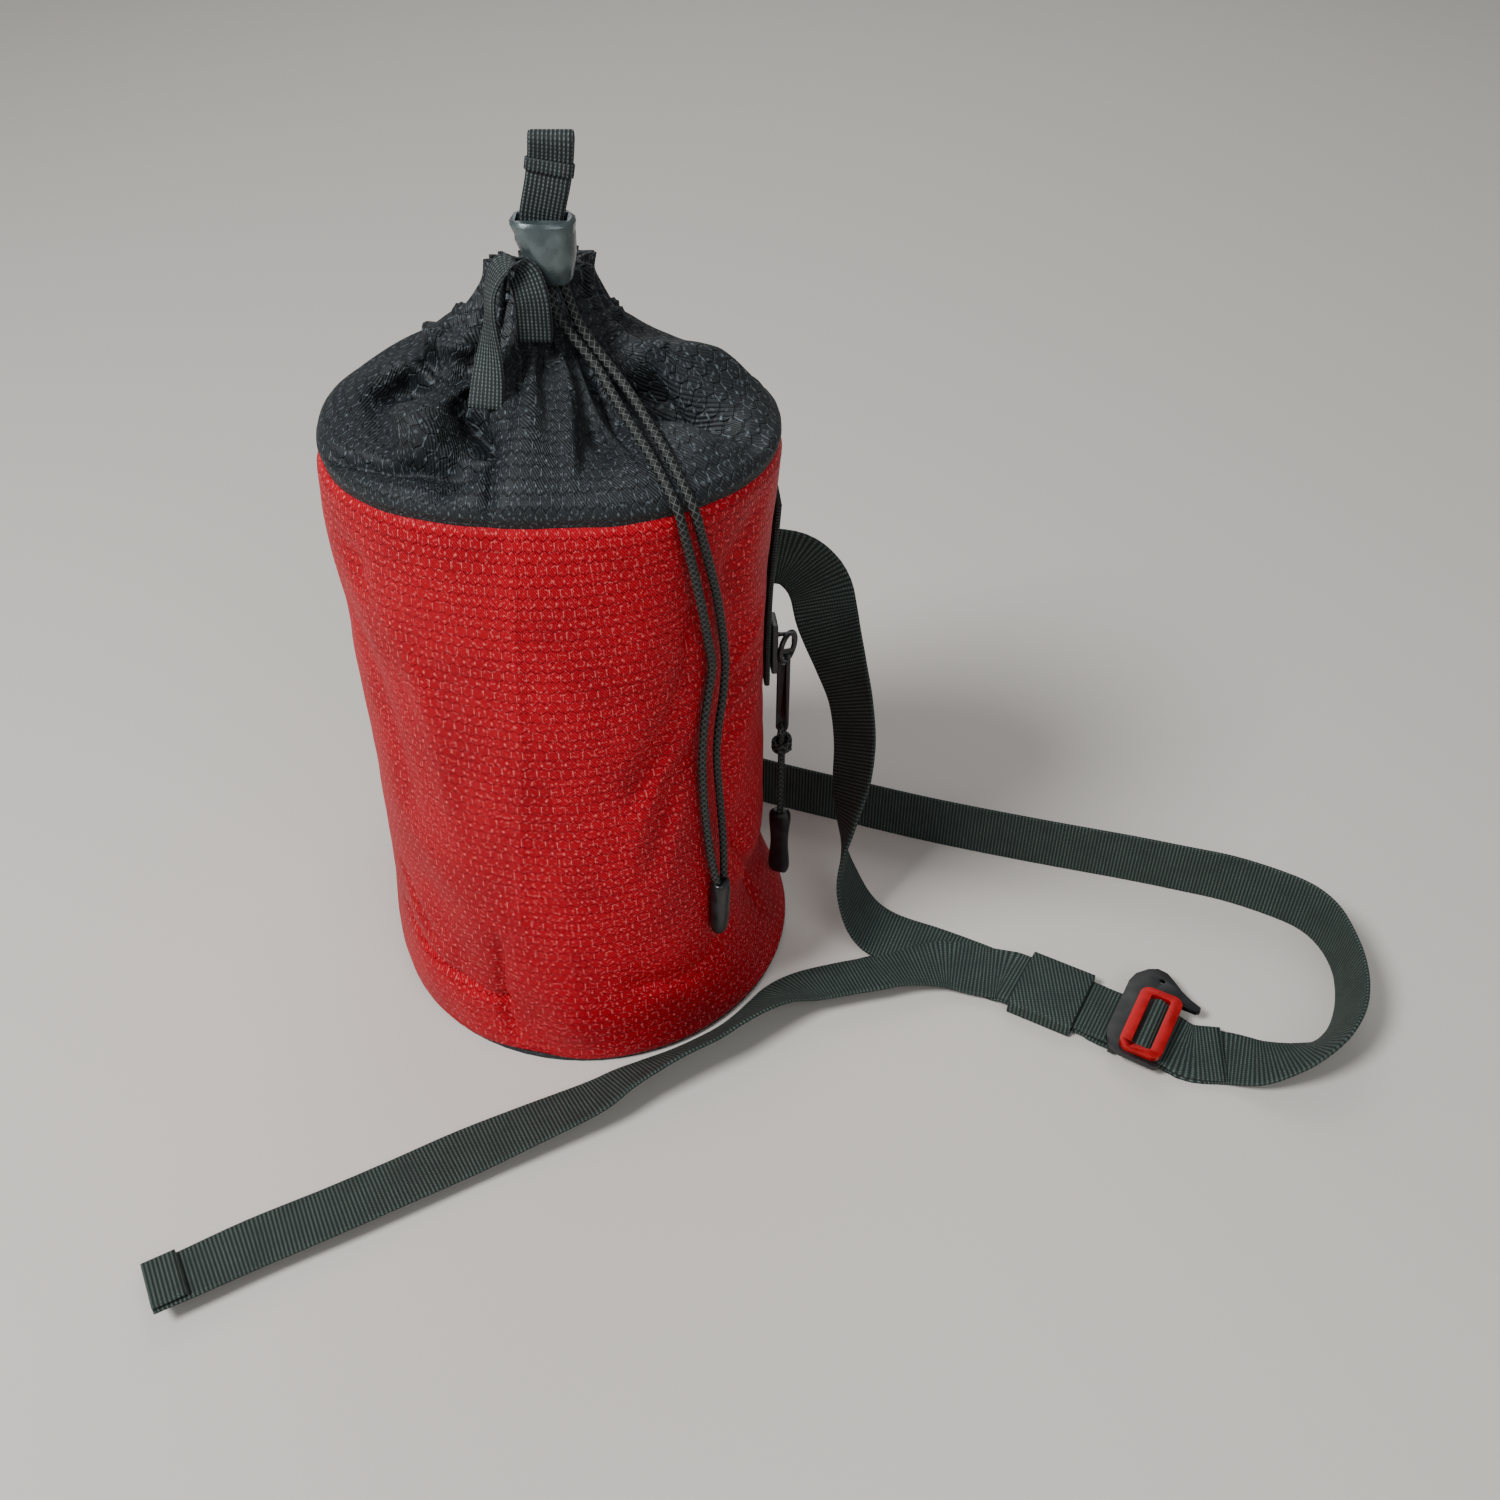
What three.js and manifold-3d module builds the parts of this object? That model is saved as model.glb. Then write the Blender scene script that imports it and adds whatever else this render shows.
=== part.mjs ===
// Snack pouch: a round drawstring pouch of red ripstop with a gathered black top and a waist belt.
// Units are millimetres, +Z is up, and the origin is the middle of the flat base.
// The front of the pouch faces -Y, and a bearing turns from the front towards +X.

import * as THREE from 'three';
import { mergeVertices } from 'three/addons/utils/BufferGeometryUtils.js';
import Module from 'manifold-3d';

const wasm = await Module();
wasm.setup();

// Driving sizes of the pouch
const BASE_RADIUS = 63;
const BASE_THICK = 1.5;
const BODY_HEIGHT = 188;
const BODY_WALL = 1.5;
const CUFF_RISE = 36;
const CUFF_WALL = 1.3;
const CUFF_TUCK = 5;
const PLEAT_DEPTH = 2.6;
const PLEAT_COUNT = 11;
const SEAM_GAP = 0.3;

// Driving sizes of the webbing and its hardware
const BELT_WIDTH = 20;
const BELT_THICK = 1.2;
const LOOP_WIDTH = 8;
const LOOP_THICK = 1.2;
const TAB_WIDTH = 9.6;
const TAB_RISE = 21.4;
const TAB_ROOM = 0.8;
const LOCK_WIDTH = 14.5;
const LOCK_DEPTH = 10;
const LOCK_HEIGHT = 14;
const WINDOW_ROOM = 0.3;
const FRAME_LENGTH = 13;
const FRAME_BAR = 3.5;
const FRAME_END = 2.4;
const FRAME_WIDTH = BELT_WIDTH + 2 * (WINDOW_ROOM + FRAME_END);
const FRAME_CORNER = 3.2;
const FRAME_THICK = 2;
const PLATE_THICK = 1.8;
const PIN_RADIUS = 0.8;
const BAR_THICK = 0.9;
const BUCKLE_TURN = -29;
const KEEPER_LENGTH = 20;
const KEEPER_THICK = 1.2;
const HEM_LENGTH = 9;
const HEM_THICK = 1.2;
const CARRIER_THICK = 1.4;
const CARRIER_ROOM = 0.6;
const CARRIER_HEM = 5;
const CARRIER_HEIGHT = BELT_WIDTH + 2 * CARRIER_HEM;
const FLOOR_GAP = 0.05;

// Driving sizes of the drawcord and the zip
const CORD_DIAMETER = 2.2;
const CORD_END_LENGTH = 21;
const CORD_END_WIDTH = 6.4;
const ZIP_LENGTH = 66;
const ZIP_WIDTH = 9;
const ZIP_THICK = 1.6;
const SLIDER_LENGTH = 17;
const SLIDER_WIDTH = 7.5;
const SLIDER_THICK = 2;
const RING_RADIUS = 3.6;
const RING_WIRE = 0.7;
const LINK_LENGTH = 29;
const LINK_WIDTH = 3.6;
const LINK_THICK = 1.6;
const PULLER_CORD = 1.7;
const GRIP_DROP = 34;
const GRIP_LENGTH = 27;
const GRIP_WIDTH = 7.4;

// How finely the cloth is divided
const COLUMNS = 64;
const BODY_ROWS = 10;
const CUFF_ROWS = 10;
const CHANNEL_ROWS = 3;

const radians = THREE.MathUtils.degToRad;

// Outline of the red wall: height, how far its middle leans forward, and radii from that middle,
// as shares of BODY_HEIGHT and BASE_RADIUS
const BODY_SECTIONS = [
  { up: 0.00, lean: 0.00, left: 0.975, right: 0.975, front: 0.975, back: 0.975 },
  { up: 0.025, lean: 0.00, left: 1.000, right: 0.985, front: 1.000, back: 1.000 },
  { up: 0.12, lean: 0.01, left: 0.975, right: 0.900, front: 0.975, back: 0.985 },
  { up: 0.25, lean: 0.02, left: 0.945, right: 0.860, front: 0.955, back: 0.965 },
  { up: 0.40, lean: 0.04, left: 0.925, right: 0.845, front: 0.920, back: 0.950 },
  { up: 0.55, lean: 0.07, left: 0.910, right: 0.845, front: 0.880, back: 0.930 },
  { up: 0.70, lean: 0.12, left: 0.895, right: 0.855, front: 0.820, back: 0.890 },
  { up: 0.80, lean: 0.17, left: 0.885, right: 0.875, front: 0.765, back: 0.850 },
  { up: 0.90, lean: 0.22, left: 0.880, right: 0.895, front: 0.710, back: 0.790 },
  { up: 1.00, lean: 0.27, left: 0.835, right: 0.925, front: 0.645, back: 0.720 },
];

// Dents and folds of the red wall: place, half sizes and depth, as degrees and shares
const BODY_DENTS = [
  { name: 'foot pinch', bearing: 84, up: 0.14, wide: 34, tall: 0.075, slant: 0, depth: 0.100 },
  { name: 'cord trough', bearing: 52, up: 0.55, wide: 11, tall: 0.26, slant: 0, depth: 0.055 },
  { name: 'cord ridge', bearing: 30, up: 0.50, wide: 10, tall: 0.30, slant: 0, depth: -0.020 },
  { name: 'side ridge', bearing: 76, up: 0.45, wide: 12, tall: 0.20, slant: 0, depth: -0.015 },
  { name: 'low left fold', bearing: -32, up: 0.18, wide: 8, tall: 0.17, slant: -80, depth: 0.028 },
  { name: 'low front fold', bearing: -14, up: 0.09, wide: 7, tall: 0.09, slant: -40, depth: 0.030 },
  { name: 'high left hollow', bearing: -78, up: 0.80, wide: 22, tall: 0.10, slant: 0, depth: 0.018 },
  { name: 'pull fold', bearing: 62, up: 0.34, wide: 7, tall: 0.12, slant: 110, depth: 0.030 },
  { name: 'back hollow', bearing: 205, up: 0.30, wide: 24, tall: 0.20, slant: 30, depth: 0.030 },
];

// Profile of the black cuff: rise above the rim, how far its middle moves back to the neck, and
// radii from that middle, as shares of CUFF_RISE, BASE_RADIUS and the rim's own radius
const CUFF_SECTIONS = [
  { along: 0.00, rise: 0.02, shift: 0.00, left: 1.000, right: 1.000, front: 1.000, back: 1.000 },
  { along: 0.10, rise: 0.09, shift: 0.03, left: 0.970, right: 0.930, front: 0.950, back: 0.900 },
  { along: 0.24, rise: 0.19, shift: 0.08, left: 0.890, right: 0.810, front: 0.860, back: 0.780 },
  { along: 0.38, rise: 0.30, shift: 0.13, left: 0.770, right: 0.680, front: 0.760, back: 0.650 },
  { along: 0.52, rise: 0.41, shift: 0.17, left: 0.630, right: 0.550, front: 0.660, back: 0.540 },
  { along: 0.64, rise: 0.51, shift: 0.20, left: 0.500, right: 0.430, front: 0.560, back: 0.440 },
  { along: 0.74, rise: 0.61, shift: 0.22, left: 0.400, right: 0.340, front: 0.480, back: 0.380 },
  { along: 0.84, rise: 0.74, shift: 0.24, left: 0.300, right: 0.290, front: 0.400, back: 0.320 },
  { along: 0.92, rise: 0.87, shift: 0.25, left: 0.230, right: 0.250, front: 0.330, back: 0.280 },
  { along: 1.00, rise: 1.00, shift: 0.26, left: 0.200, right: 0.250, front: 0.290, back: 0.260 },
];
const CHANNEL_FROM = 0.75;
// A dent in the sloping cuff goes partly inwards and partly down
const DENT_INWARD = 0.5;
const DENT_DOWNWARD = 0.8;

// Lobes and hollows of the cuff, with negative depths for what stands out
const CUFF_DENTS = [
  { name: 'left hollow', bearing: -62, along: 0.40, wide: 11, tall: 0.16, depth: 0.115 },
  { name: 'left puff', bearing: -88, along: 0.30, wide: 20, tall: 0.20, depth: -0.035 },
  { name: 'left ridge', bearing: -43, along: 0.38, wide: 7, tall: 0.20, depth: -0.040 },
  { name: 'front left groove', bearing: -27, along: 0.34, wide: 7, tall: 0.26, depth: 0.100 },
  { name: 'front panel', bearing: -2, along: 0.36, wide: 15, tall: 0.30, depth: -0.045 },
  { name: 'front right groove', bearing: 24, along: 0.44, wide: 7, tall: 0.22, depth: 0.090 },
  { name: 'right hollow', bearing: 50, along: 0.45, wide: 15, tall: 0.12, depth: 0.120 },
  { name: 'right lobe', bearing: 88, along: 0.36, wide: 26, tall: 0.22, depth: -0.055 },
  { name: 'back groove', bearing: 168, along: 0.42, wide: 9, tall: 0.25, depth: 0.080 },
  { name: 'back left groove', bearing: 225, along: 0.40, wide: 9, tall: 0.25, depth: 0.080 },
];

// Smooth value of every named column of a table at one place along it
function sectionAt(table, key, place) {
  const last = table.length - 1;
  let low = 0;
  while (low < last - 1 && place > table[low + 1][key]) low += 1;
  const span = table[low + 1][key] - table[low][key];
  const share = THREE.MathUtils.clamp((place - table[low][key]) / span, 0, 1);
  const before = table[Math.max(low - 1, 0)];
  const after = table[Math.min(low + 2, last)];
  const section = {};
  for (const name of Object.keys(table[low])) {
    const start = table[low][name];
    const end = table[low + 1][name];
    const leave = (end - before[name]) / 2;
    const arrive = (after[name] - start) / 2;
    const square = share * share;
    const cube = square * share;
    section[name] = (2 * cube - 3 * square + 1) * start + (cube - 2 * square + share) * leave
      + (3 * square - 2 * cube) * end + (cube - square) * arrive;
  }
  return section;
}

// Radius of a section that is round, but fuller on some sides than on others
function sideBlend(section, bearing) {
  const forward = Math.cos(bearing);
  const sideways = Math.sin(bearing);
  const lengthwise = forward > 0 ? section.front : section.back;
  const crosswise = sideways > 0 ? section.right : section.left;
  return lengthwise * forward * forward + crosswise * sideways * sideways;
}

function bump(offset, reach) {
  return Math.exp(-(offset * offset) / (reach * reach));
}

function bearingGap(bearing, degrees) {
  const gap = THREE.MathUtils.radToDeg(bearing) - degrees;
  return THREE.MathUtils.euclideanModulo(gap + 180, 360) - 180;
}

// Outer radius of the red wall at a bearing and a share of its height
function bodyRadius(bearing, up) {
  let share = sideBlend(sectionAt(BODY_SECTIONS, 'up', up), bearing);
  for (const dent of BODY_DENTS) {
    const middle = dent.bearing + dent.slant * (up - dent.up);
    share -= dent.depth * bump(bearingGap(bearing, middle), dent.wide) * bump(up - dent.up, dent.tall);
  }
  return share * BASE_RADIUS;
}

function polar(radius, bearing, height, middle) {
  return new THREE.Vector3(radius * Math.sin(bearing), middle - radius * Math.cos(bearing), height);
}

// Where the middle of the red wall lies at a height, forward being negative
function bodyMiddle(up) {
  return -sectionAt(BODY_SECTIONS, 'up', up).lean * BASE_RADIUS;
}

// Point of the red wall at a bearing and a share of its height, moved inwards by an inset
function bodyPoint(bearing, up, inset = 0) {
  return polar(bodyRadius(bearing, up) - inset, bearing, up * BODY_HEIGHT, bodyMiddle(up));
}

// Gathers round the neck, deepest just below the cord channel
function pleatInset(bearing, along) {
  const uneven = bearing + 0.22 * Math.sin(2 * bearing + 0.8) + 0.10 * Math.sin(5 * bearing);
  const wave = 0.5 - 0.5 * Math.cos(PLEAT_COUNT * uneven);
  return PLEAT_DEPTH * wave * bump(along - 0.82, 0.26);
}

// The mouth dips where the drawcord comes out, and its two sides stand up beside the dip
function mouthDrop(bearing) {
  const notch = 0.30 * bump(bearingGap(bearing, 16), 13);
  const rear = 0.12 * bump(bearingGap(bearing, 190), 60);
  return notch + rear + 0.02 * Math.sin(7 * bearing);
}

function cuffPoint(bearing, along) {
  const section = sectionAt(CUFF_SECTIONS, 'along', along);
  const rim = bodyRadius(bearing, 1) - BODY_WALL - SEAM_GAP;
  let dent = 0;
  for (const place of CUFF_DENTS) {
    dent += place.depth * bump(bearingGap(bearing, place.bearing), place.wide)
      * bump(along - place.along, place.tall);
  }
  dent *= rim * THREE.MathUtils.smoothstep(along, 0, 0.15);
  const radius = sideBlend(section, bearing) * rim - dent * DENT_INWARD - pleatInset(bearing, along);
  const drop = mouthDrop(bearing) * THREE.MathUtils.smoothstep(along, 0.6, 1);
  const rise = section.rise * CUFF_RISE * (1 - drop) - dent * DENT_DOWNWARD;
  const middle = bodyMiddle(1) + section.shift * BASE_RADIUS;
  return polar(radius, bearing, BODY_HEIGHT + rise, middle);
}

// Outward direction of a surface that is given as a function of bearing and place
function surfaceNormal(surface, bearing, place) {
  const step = 0.004;
  const low = Math.max(place - step, 0);
  const high = Math.min(place + step, 1);
  const around = surface(bearing + step, place).sub(surface(bearing - step, place));
  const upward = surface(bearing, high).sub(surface(bearing, low));
  return around.cross(upward).normalize();
}

function surfaceOffset(surface, bearing, place, distance) {
  return surface(bearing, place).addScaledVector(surfaceNormal(surface, bearing, place), distance);
}

// Closed mesh from a list of points and a list of corner triples
function meshGeometry(points, faces) {
  const geometry = new THREE.BufferGeometry();
  const flat = points.flatMap((point) => [point.x, point.y, point.z]);
  geometry.setAttribute('position', new THREE.Float32BufferAttribute(flat, 3));
  geometry.setIndex(faces.flat());
  return geometry;
}

// Cloth wall that closes round the pouch, from rings of outer and inner points
function clothWall(outerRings, innerRings) {
  const columns = outerRings[0].length;
  const rows = outerRings.length;
  const points = [...outerRings.flat(), ...innerRings.flat()];
  const inner = columns * rows;
  const faces = [];
  const quad = (a, b, c, d) => faces.push([a, b, c], [a, c, d]);
  for (let column = 0; column < columns; column += 1) {
    const next = (column + 1) % columns;
    for (let row = 0; row < rows - 1; row += 1) {
      const low = row * columns;
      const high = low + columns;
      quad(low + column, low + next, high + next, high + column);
      quad(inner + low + next, inner + low + column, inner + high + column, inner + high + next);
    }
    const top = (rows - 1) * columns;
    quad(top + column, top + next, inner + top + next, inner + top + column);
    quad(next, column, inner + column, inner + next);
  }
  return meshGeometry(points, faces);
}

function ringOf(columns, pointAt) {
  return Array.from({ length: columns }, (_, column) => pointAt((column / columns) * 2 * Math.PI));
}

function bodyShellGeometry() {
  const outer = [];
  const inner = [];
  const bottom = (BASE_THICK + SEAM_GAP) / BODY_HEIGHT;
  for (let row = 0; row <= BODY_ROWS; row += 1) {
    const share = row / BODY_ROWS;
    const up = bottom + (1 - bottom) * (0.75 * share + 0.25 * share * share);
    outer.push(ringOf(COLUMNS, (bearing) => bodyPoint(bearing, up)));
    inner.push(ringOf(COLUMNS, (bearing) => bodyPoint(bearing, up, BODY_WALL)));
  }
  return clothWall(outer, inner);
}

// The cuff starts tucked inside the red rim, where the two cloths are sewn together
function cuffGeometry() {
  const tuckedUp = 1 - CUFF_TUCK / BODY_HEIGHT;
  const inset = BODY_WALL + SEAM_GAP;
  const outer = [ringOf(COLUMNS, (bearing) => bodyPoint(bearing, tuckedUp, inset))];
  const inner = [ringOf(COLUMNS, (bearing) => bodyPoint(bearing, tuckedUp, inset + CUFF_WALL))];
  for (let row = 0; row <= CUFF_ROWS; row += 1) {
    const along = (row / CUFF_ROWS) * CHANNEL_FROM;
    outer.push(ringOf(COLUMNS, (bearing) => cuffPoint(bearing, along)));
    inner.push(ringOf(COLUMNS, (bearing) => surfaceOffset(cuffPoint, bearing, along, -CUFF_WALL)));
  }
  return clothWall(outer, inner);
}

function channelGeometry() {
  const outer = [];
  const inner = [];
  const seam = SEAM_GAP / CUFF_RISE + 0.012;
  for (let row = 0; row <= CHANNEL_ROWS; row += 1) {
    const along = CHANNEL_FROM + seam + (1 - CHANNEL_FROM - seam) * (row / CHANNEL_ROWS);
    outer.push(ringOf(COLUMNS, (bearing) => cuffPoint(bearing, along)));
    inner.push(ringOf(COLUMNS, (bearing) => surfaceOffset(cuffPoint, bearing, along, -CUFF_WALL)));
  }
  return clothWall(outer, inner);
}

// Four corners of a strap's section at one of its stations
function strapCorners(stations, index, width, thickness) {
  const { point, across } = stations[index];
  const before = stations[Math.max(index - 1, 0)].point;
  const after = stations[Math.min(index + 1, stations.length - 1)].point;
  const tangent = after.clone().sub(before).normalize();
  const wide = across.clone().addScaledVector(tangent, -across.dot(tangent)).normalize();
  const thick = tangent.clone().cross(wide);
  return [[-1, -1], [1, -1], [1, 1], [-1, 1]].map(([side, face]) => point.clone()
    .addScaledVector(wide, (side * width) / 2).addScaledVector(thick, (face * thickness) / 2));
}

// A strap of even width: each station has its middle point and the direction across its width
function strapGeometry(stations, width, thickness) {
  const points = stations.flatMap((_, index) => strapCorners(stations, index, width, thickness));
  const faces = [];
  const last = stations.length - 1;
  for (let index = 0; index < last; index += 1) {
    for (let side = 0; side < 4; side += 1) {
      const a = index * 4 + side;
      const b = index * 4 + ((side + 1) % 4);
      faces.push([a, b, b + 4], [a, b + 4, a + 4]);
    }
  }
  const end = last * 4;
  faces.push([0, 2, 1], [0, 3, 2], [end, end + 1, end + 2], [end, end + 2, end + 3]);
  return meshGeometry(points, faces);
}

// Direction that points to a heading seen from above and leans up from the level
function leaningDirection(heading, lean) {
  const level = Math.cos(radians(lean));
  return new THREE.Vector3(level * Math.cos(radians(heading)), level * Math.sin(radians(heading)),
    Math.sin(radians(lean)));
}

// Smooth stations between a few hand-placed ones
function smoothStations(rows, steps) {
  const points = new THREE.CatmullRomCurve3(rows.map((row) => row.point), false, 'catmullrom', 0.5);
  const sides = new THREE.CatmullRomCurve3(rows.map((row) => row.across), false, 'catmullrom', 0.5);
  const count = (rows.length - 1) * steps;
  return Array.from({ length: count + 1 }, (_, index) => {
    const place = index / count;
    return { point: points.getPoint(place), across: sides.getPoint(place).normalize() };
  });
}

function fanFaces(count) {
  return Array.from({ length: count - 2 }, (_, index) => [0, index + 1, index + 2]);
}

// Solid between equal rings of points, closed at both ends by flat faces
function loftGeometry(rings, capFaces = fanFaces(rings[0].length)) {
  const columns = rings[0].length;
  const points = rings.flat();
  const faces = [];
  for (let row = 0; row < rings.length - 1; row += 1) {
    for (let column = 0; column < columns; column += 1) {
      const a = row * columns + column;
      const b = row * columns + ((column + 1) % columns);
      faces.push([a, b, b + columns], [a, b + columns, a + columns]);
    }
  }
  const top = (rings.length - 1) * columns;
  for (const [a, b, c] of capFaces) {
    faces.push([a, c, b], [top + a, top + b, top + c]);
  }
  return meshGeometry(points, faces);
}

// Level ring of an upright moulded part, rounder or boxier with its power
function ovalRing(halfWidth, halfDepth, height, shift, sides, power) {
  return ringOf(sides, (angle) => {
    const across = Math.cos(angle);
    const along = Math.sin(angle);
    const x = Math.sign(across) * Math.abs(across) ** power * halfWidth + shift;
    return new THREE.Vector3(x, Math.sign(along) * Math.abs(along) ** power * halfDepth, height);
  });
}

function roundSection(radius, sides) {
  const shape = new THREE.Shape();
  shape.setFromPoints(ringOf(sides, (angle) => new THREE.Vector2(Math.cos(angle), Math.sin(angle))
    .multiplyScalar(radius)));
  return shape;
}

function tubeGeometry(route, radius, sides, steps) {
  const extrudePath = new THREE.CatmullRomCurve3(route.map((place) => new THREE.Vector3(...place)));
  return new THREE.ExtrudeGeometry(roundSection(radius, sides), { steps, extrudePath, bevelEnabled: false });
}

function plateGeometry(shape, thickness, curveSegments = 4) {
  return new THREE.ExtrudeGeometry(shape, { depth: thickness, bevelEnabled: false, curveSegments });
}

function roundedRectangle(shape, halfLength, halfWidth, corner) {
  shape.moveTo(-halfLength + corner, -halfWidth);
  shape.lineTo(halfLength - corner, -halfWidth);
  shape.absarc(halfLength - corner, -halfWidth + corner, corner, -Math.PI / 2, 0, false);
  shape.lineTo(halfLength, halfWidth - corner);
  shape.absarc(halfLength - corner, halfWidth - corner, corner, 0, Math.PI / 2, false);
  shape.lineTo(-halfLength + corner, halfWidth);
  shape.absarc(-halfLength + corner, halfWidth - corner, corner, Math.PI / 2, Math.PI, false);
  shape.lineTo(-halfLength, -halfWidth + corner);
  shape.absarc(-halfLength + corner, -halfWidth + corner, corner, Math.PI, 1.5 * Math.PI, false);
  return shape;
}

// Joining and cutting of closed meshes
function asSolid(geometry) {
  const bare = geometry.clone();
  bare.deleteAttribute('normal');
  bare.deleteAttribute('uv');
  const merged = mergeVertices(bare, 1e-4);
  return new wasm.Manifold(new wasm.Mesh({
    numProp: 3,
    vertProperties: new Float32Array(merged.attributes.position.array),
    triVerts: new Uint32Array(merged.index.array),
  }));
}

function asGeometry(solid) {
  const mesh = solid.getMesh();
  const geometry = new THREE.BufferGeometry();
  geometry.setAttribute('position', new THREE.BufferAttribute(mesh.vertProperties.slice(), 3));
  geometry.setIndex(new THREE.BufferAttribute(mesh.triVerts.slice(), 1));
  return geometry;
}

function boxAt(length, width, height, x, y, z) {
  return new THREE.BoxGeometry(length, width, height).translate(x, y, z);
}

function material(name, color, roughness, metalness) {
  return new THREE.MeshStandardMaterial({ name, color, roughness, metalness });
}

const RED_RIPSTOP = material('red ripstop', '#b3121b', 0.7, 0);
const BLACK_RIPSTOP = material('black ripstop', '#1d2226', 0.7, 0);
const WEBBING = material('webbing', '#26302e', 0.8, 0);
const CORD = material('braided cord', '#16191a', 0.7, 0);
const MOULDED = material('moulded plastic', '#1a1d1f', 0.4, 0);
const DARK_METAL = material('black metal', '#1b1b1d', 0.35, 1);
const RED_METAL = material('red anodised metal', '#c30f1c', 0.35, 1);

const pouch = new THREE.Group();

function addPiece(name, geometry, finish, parent = pouch) {
  const mesh = new THREE.Mesh(geometry, finish);
  mesh.name = name;
  parent.add(mesh);
  return mesh;
}

// Base and cloth walls
function basePanelGeometry() {
  const radius = BODY_SECTIONS[0].front * BASE_RADIUS;
  const geometry = new THREE.CylinderGeometry(radius, radius, BASE_THICK, COLUMNS);
  geometry.rotateX(Math.PI / 2);
  geometry.translate(0, 0, BASE_THICK / 2);
  return geometry;
}

addPiece('base_panel', basePanelGeometry(), BLACK_RIPSTOP);
addPiece('body_shell', bodyShellGeometry(), RED_RIPSTOP);
addPiece('cuff', cuffGeometry(), BLACK_RIPSTOP);
addPiece('cord_channel', channelGeometry(), BLACK_RIPSTOP);

// Grab loop on the cuff's front: places as shares of BASE_RADIUS and CUFF_RISE, and how the
// width of the webbing turns, in degrees
const LOOP_ROWS = [
  { x: -0.140, y: -0.545, up: 0.42, heading: 5, lean: 8 },
  { x: -0.130, y: -0.500, up: 0.55, heading: -12, lean: 8 },
  { x: -0.118, y: -0.455, up: 0.71, heading: -42, lean: 6 },
  { x: -0.110, y: -0.415, up: 0.89, heading: -68, lean: 4 },
  { x: -0.102, y: -0.375, up: 1.06, heading: -70, lean: 2 },
  { x: -0.062, y: -0.345, up: 1.18, heading: -56, lean: 0 },
  { x: 0.004, y: -0.345, up: 1.17, heading: -26, lean: 0 },
  { x: 0.036, y: -0.375, up: 1.02, heading: -6, lean: 0 },
  { x: 0.038, y: -0.375, up: 0.86, heading: 0, lean: 0 },
  { x: 0.034, y: -0.372, up: 0.72, heading: 4, lean: 0 },
];

function grabLoopGeometry() {
  const rows = LOOP_ROWS.map((row) => ({
    point: new THREE.Vector3(row.x * BASE_RADIUS, row.y * BASE_RADIUS, BODY_HEIGHT + row.up * CUFF_RISE),
    across: leaningDirection(row.heading, row.lean),
  }));
  return strapGeometry(smoothStations(rows, 3), LOOP_WIDTH, LOOP_THICK);
}

// Cord lock: a flattened barrel that narrows downwards, with a slot in its top for the tab
const LOCK_PLACE = { x: 0.084, y: -0.275, up: 1.05 };
const LOCK_SECTIONS = [
  { up: 0.00, wide: 0.36, deep: 0.60 },
  { up: 0.06, wide: 0.42, deep: 0.70 },
  { up: 0.45, wide: 0.62, deep: 0.85 },
  { up: 0.76, wide: 0.84, deep: 0.95 },
  { up: 0.80, wide: 0.90, deep: 1.00 },
  { up: 0.94, wide: 1.00, deep: 1.00 },
  { up: 1.00, wide: 0.90, deep: 0.90 },
];
const LOCK_SHIFT = 2;
const SLOT_DEPTH = 4;
const SLOT_WIDE = 4.6;

const neck = new THREE.Group();
neck.position.set(LOCK_PLACE.x * BASE_RADIUS, LOCK_PLACE.y * BASE_RADIUS,
  BODY_HEIGHT + LOCK_PLACE.up * CUFF_RISE);
pouch.add(neck);

function cordLockGeometry() {
  const rings = LOCK_SECTIONS.map((section) => ovalRing((section.wide * LOCK_WIDTH) / 2,
    (section.deep * LOCK_DEPTH) / 2, section.up * LOCK_HEIGHT, LOCK_SHIFT * (1 - section.up), 16, 0.75));
  const slot = boxAt(TAB_WIDTH + 2 * TAB_ROOM, SLOT_WIDE, 2 * SLOT_DEPTH, 0, 0, LOCK_HEIGHT);
  return asGeometry(asSolid(loftGeometry(rings)).subtract(asSolid(slot)));
}

// Doubled tab: up the front, over a tight fold and down the back
function pullTabGeometry() {
  const foot = LOCK_HEIGHT - SLOT_DEPTH + SEAM_GAP;
  const fold = LOOP_THICK / 2 + SEAM_GAP;
  const sway = [
    { up: 0.0, shift: 0, bow: 0 },
    { up: 0.2, shift: 0.2, bow: 0.1 },
    { up: 0.5, shift: 1.9, bow: 0.9 },
    { up: 0.75, shift: 3.0, bow: 0.2 },
    { up: 0.95, shift: 3.5, bow: 0.4 },
  ];
  const across = new THREE.Vector3(1, 0, 0);
  const leg = (side) => sway.map((row) => ({
    point: new THREE.Vector3(row.shift, side * (fold + row.bow), foot + row.up * TAB_RISE),
    across,
  }));
  const crown = { point: new THREE.Vector3(3.5, 0, foot + TAB_RISE), across };
  return strapGeometry(smoothStations([...leg(-1), crown, ...leg(1).reverse()], 2), TAB_WIDTH, LOOP_THICK);
}

addPiece('grab_loop', grabLoopGeometry(), WEBBING);
addPiece('cord_lock', cordLockGeometry(), MOULDED, neck);
addPiece('pull_tab', pullTabGeometry(), WEBBING, neck);

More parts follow.
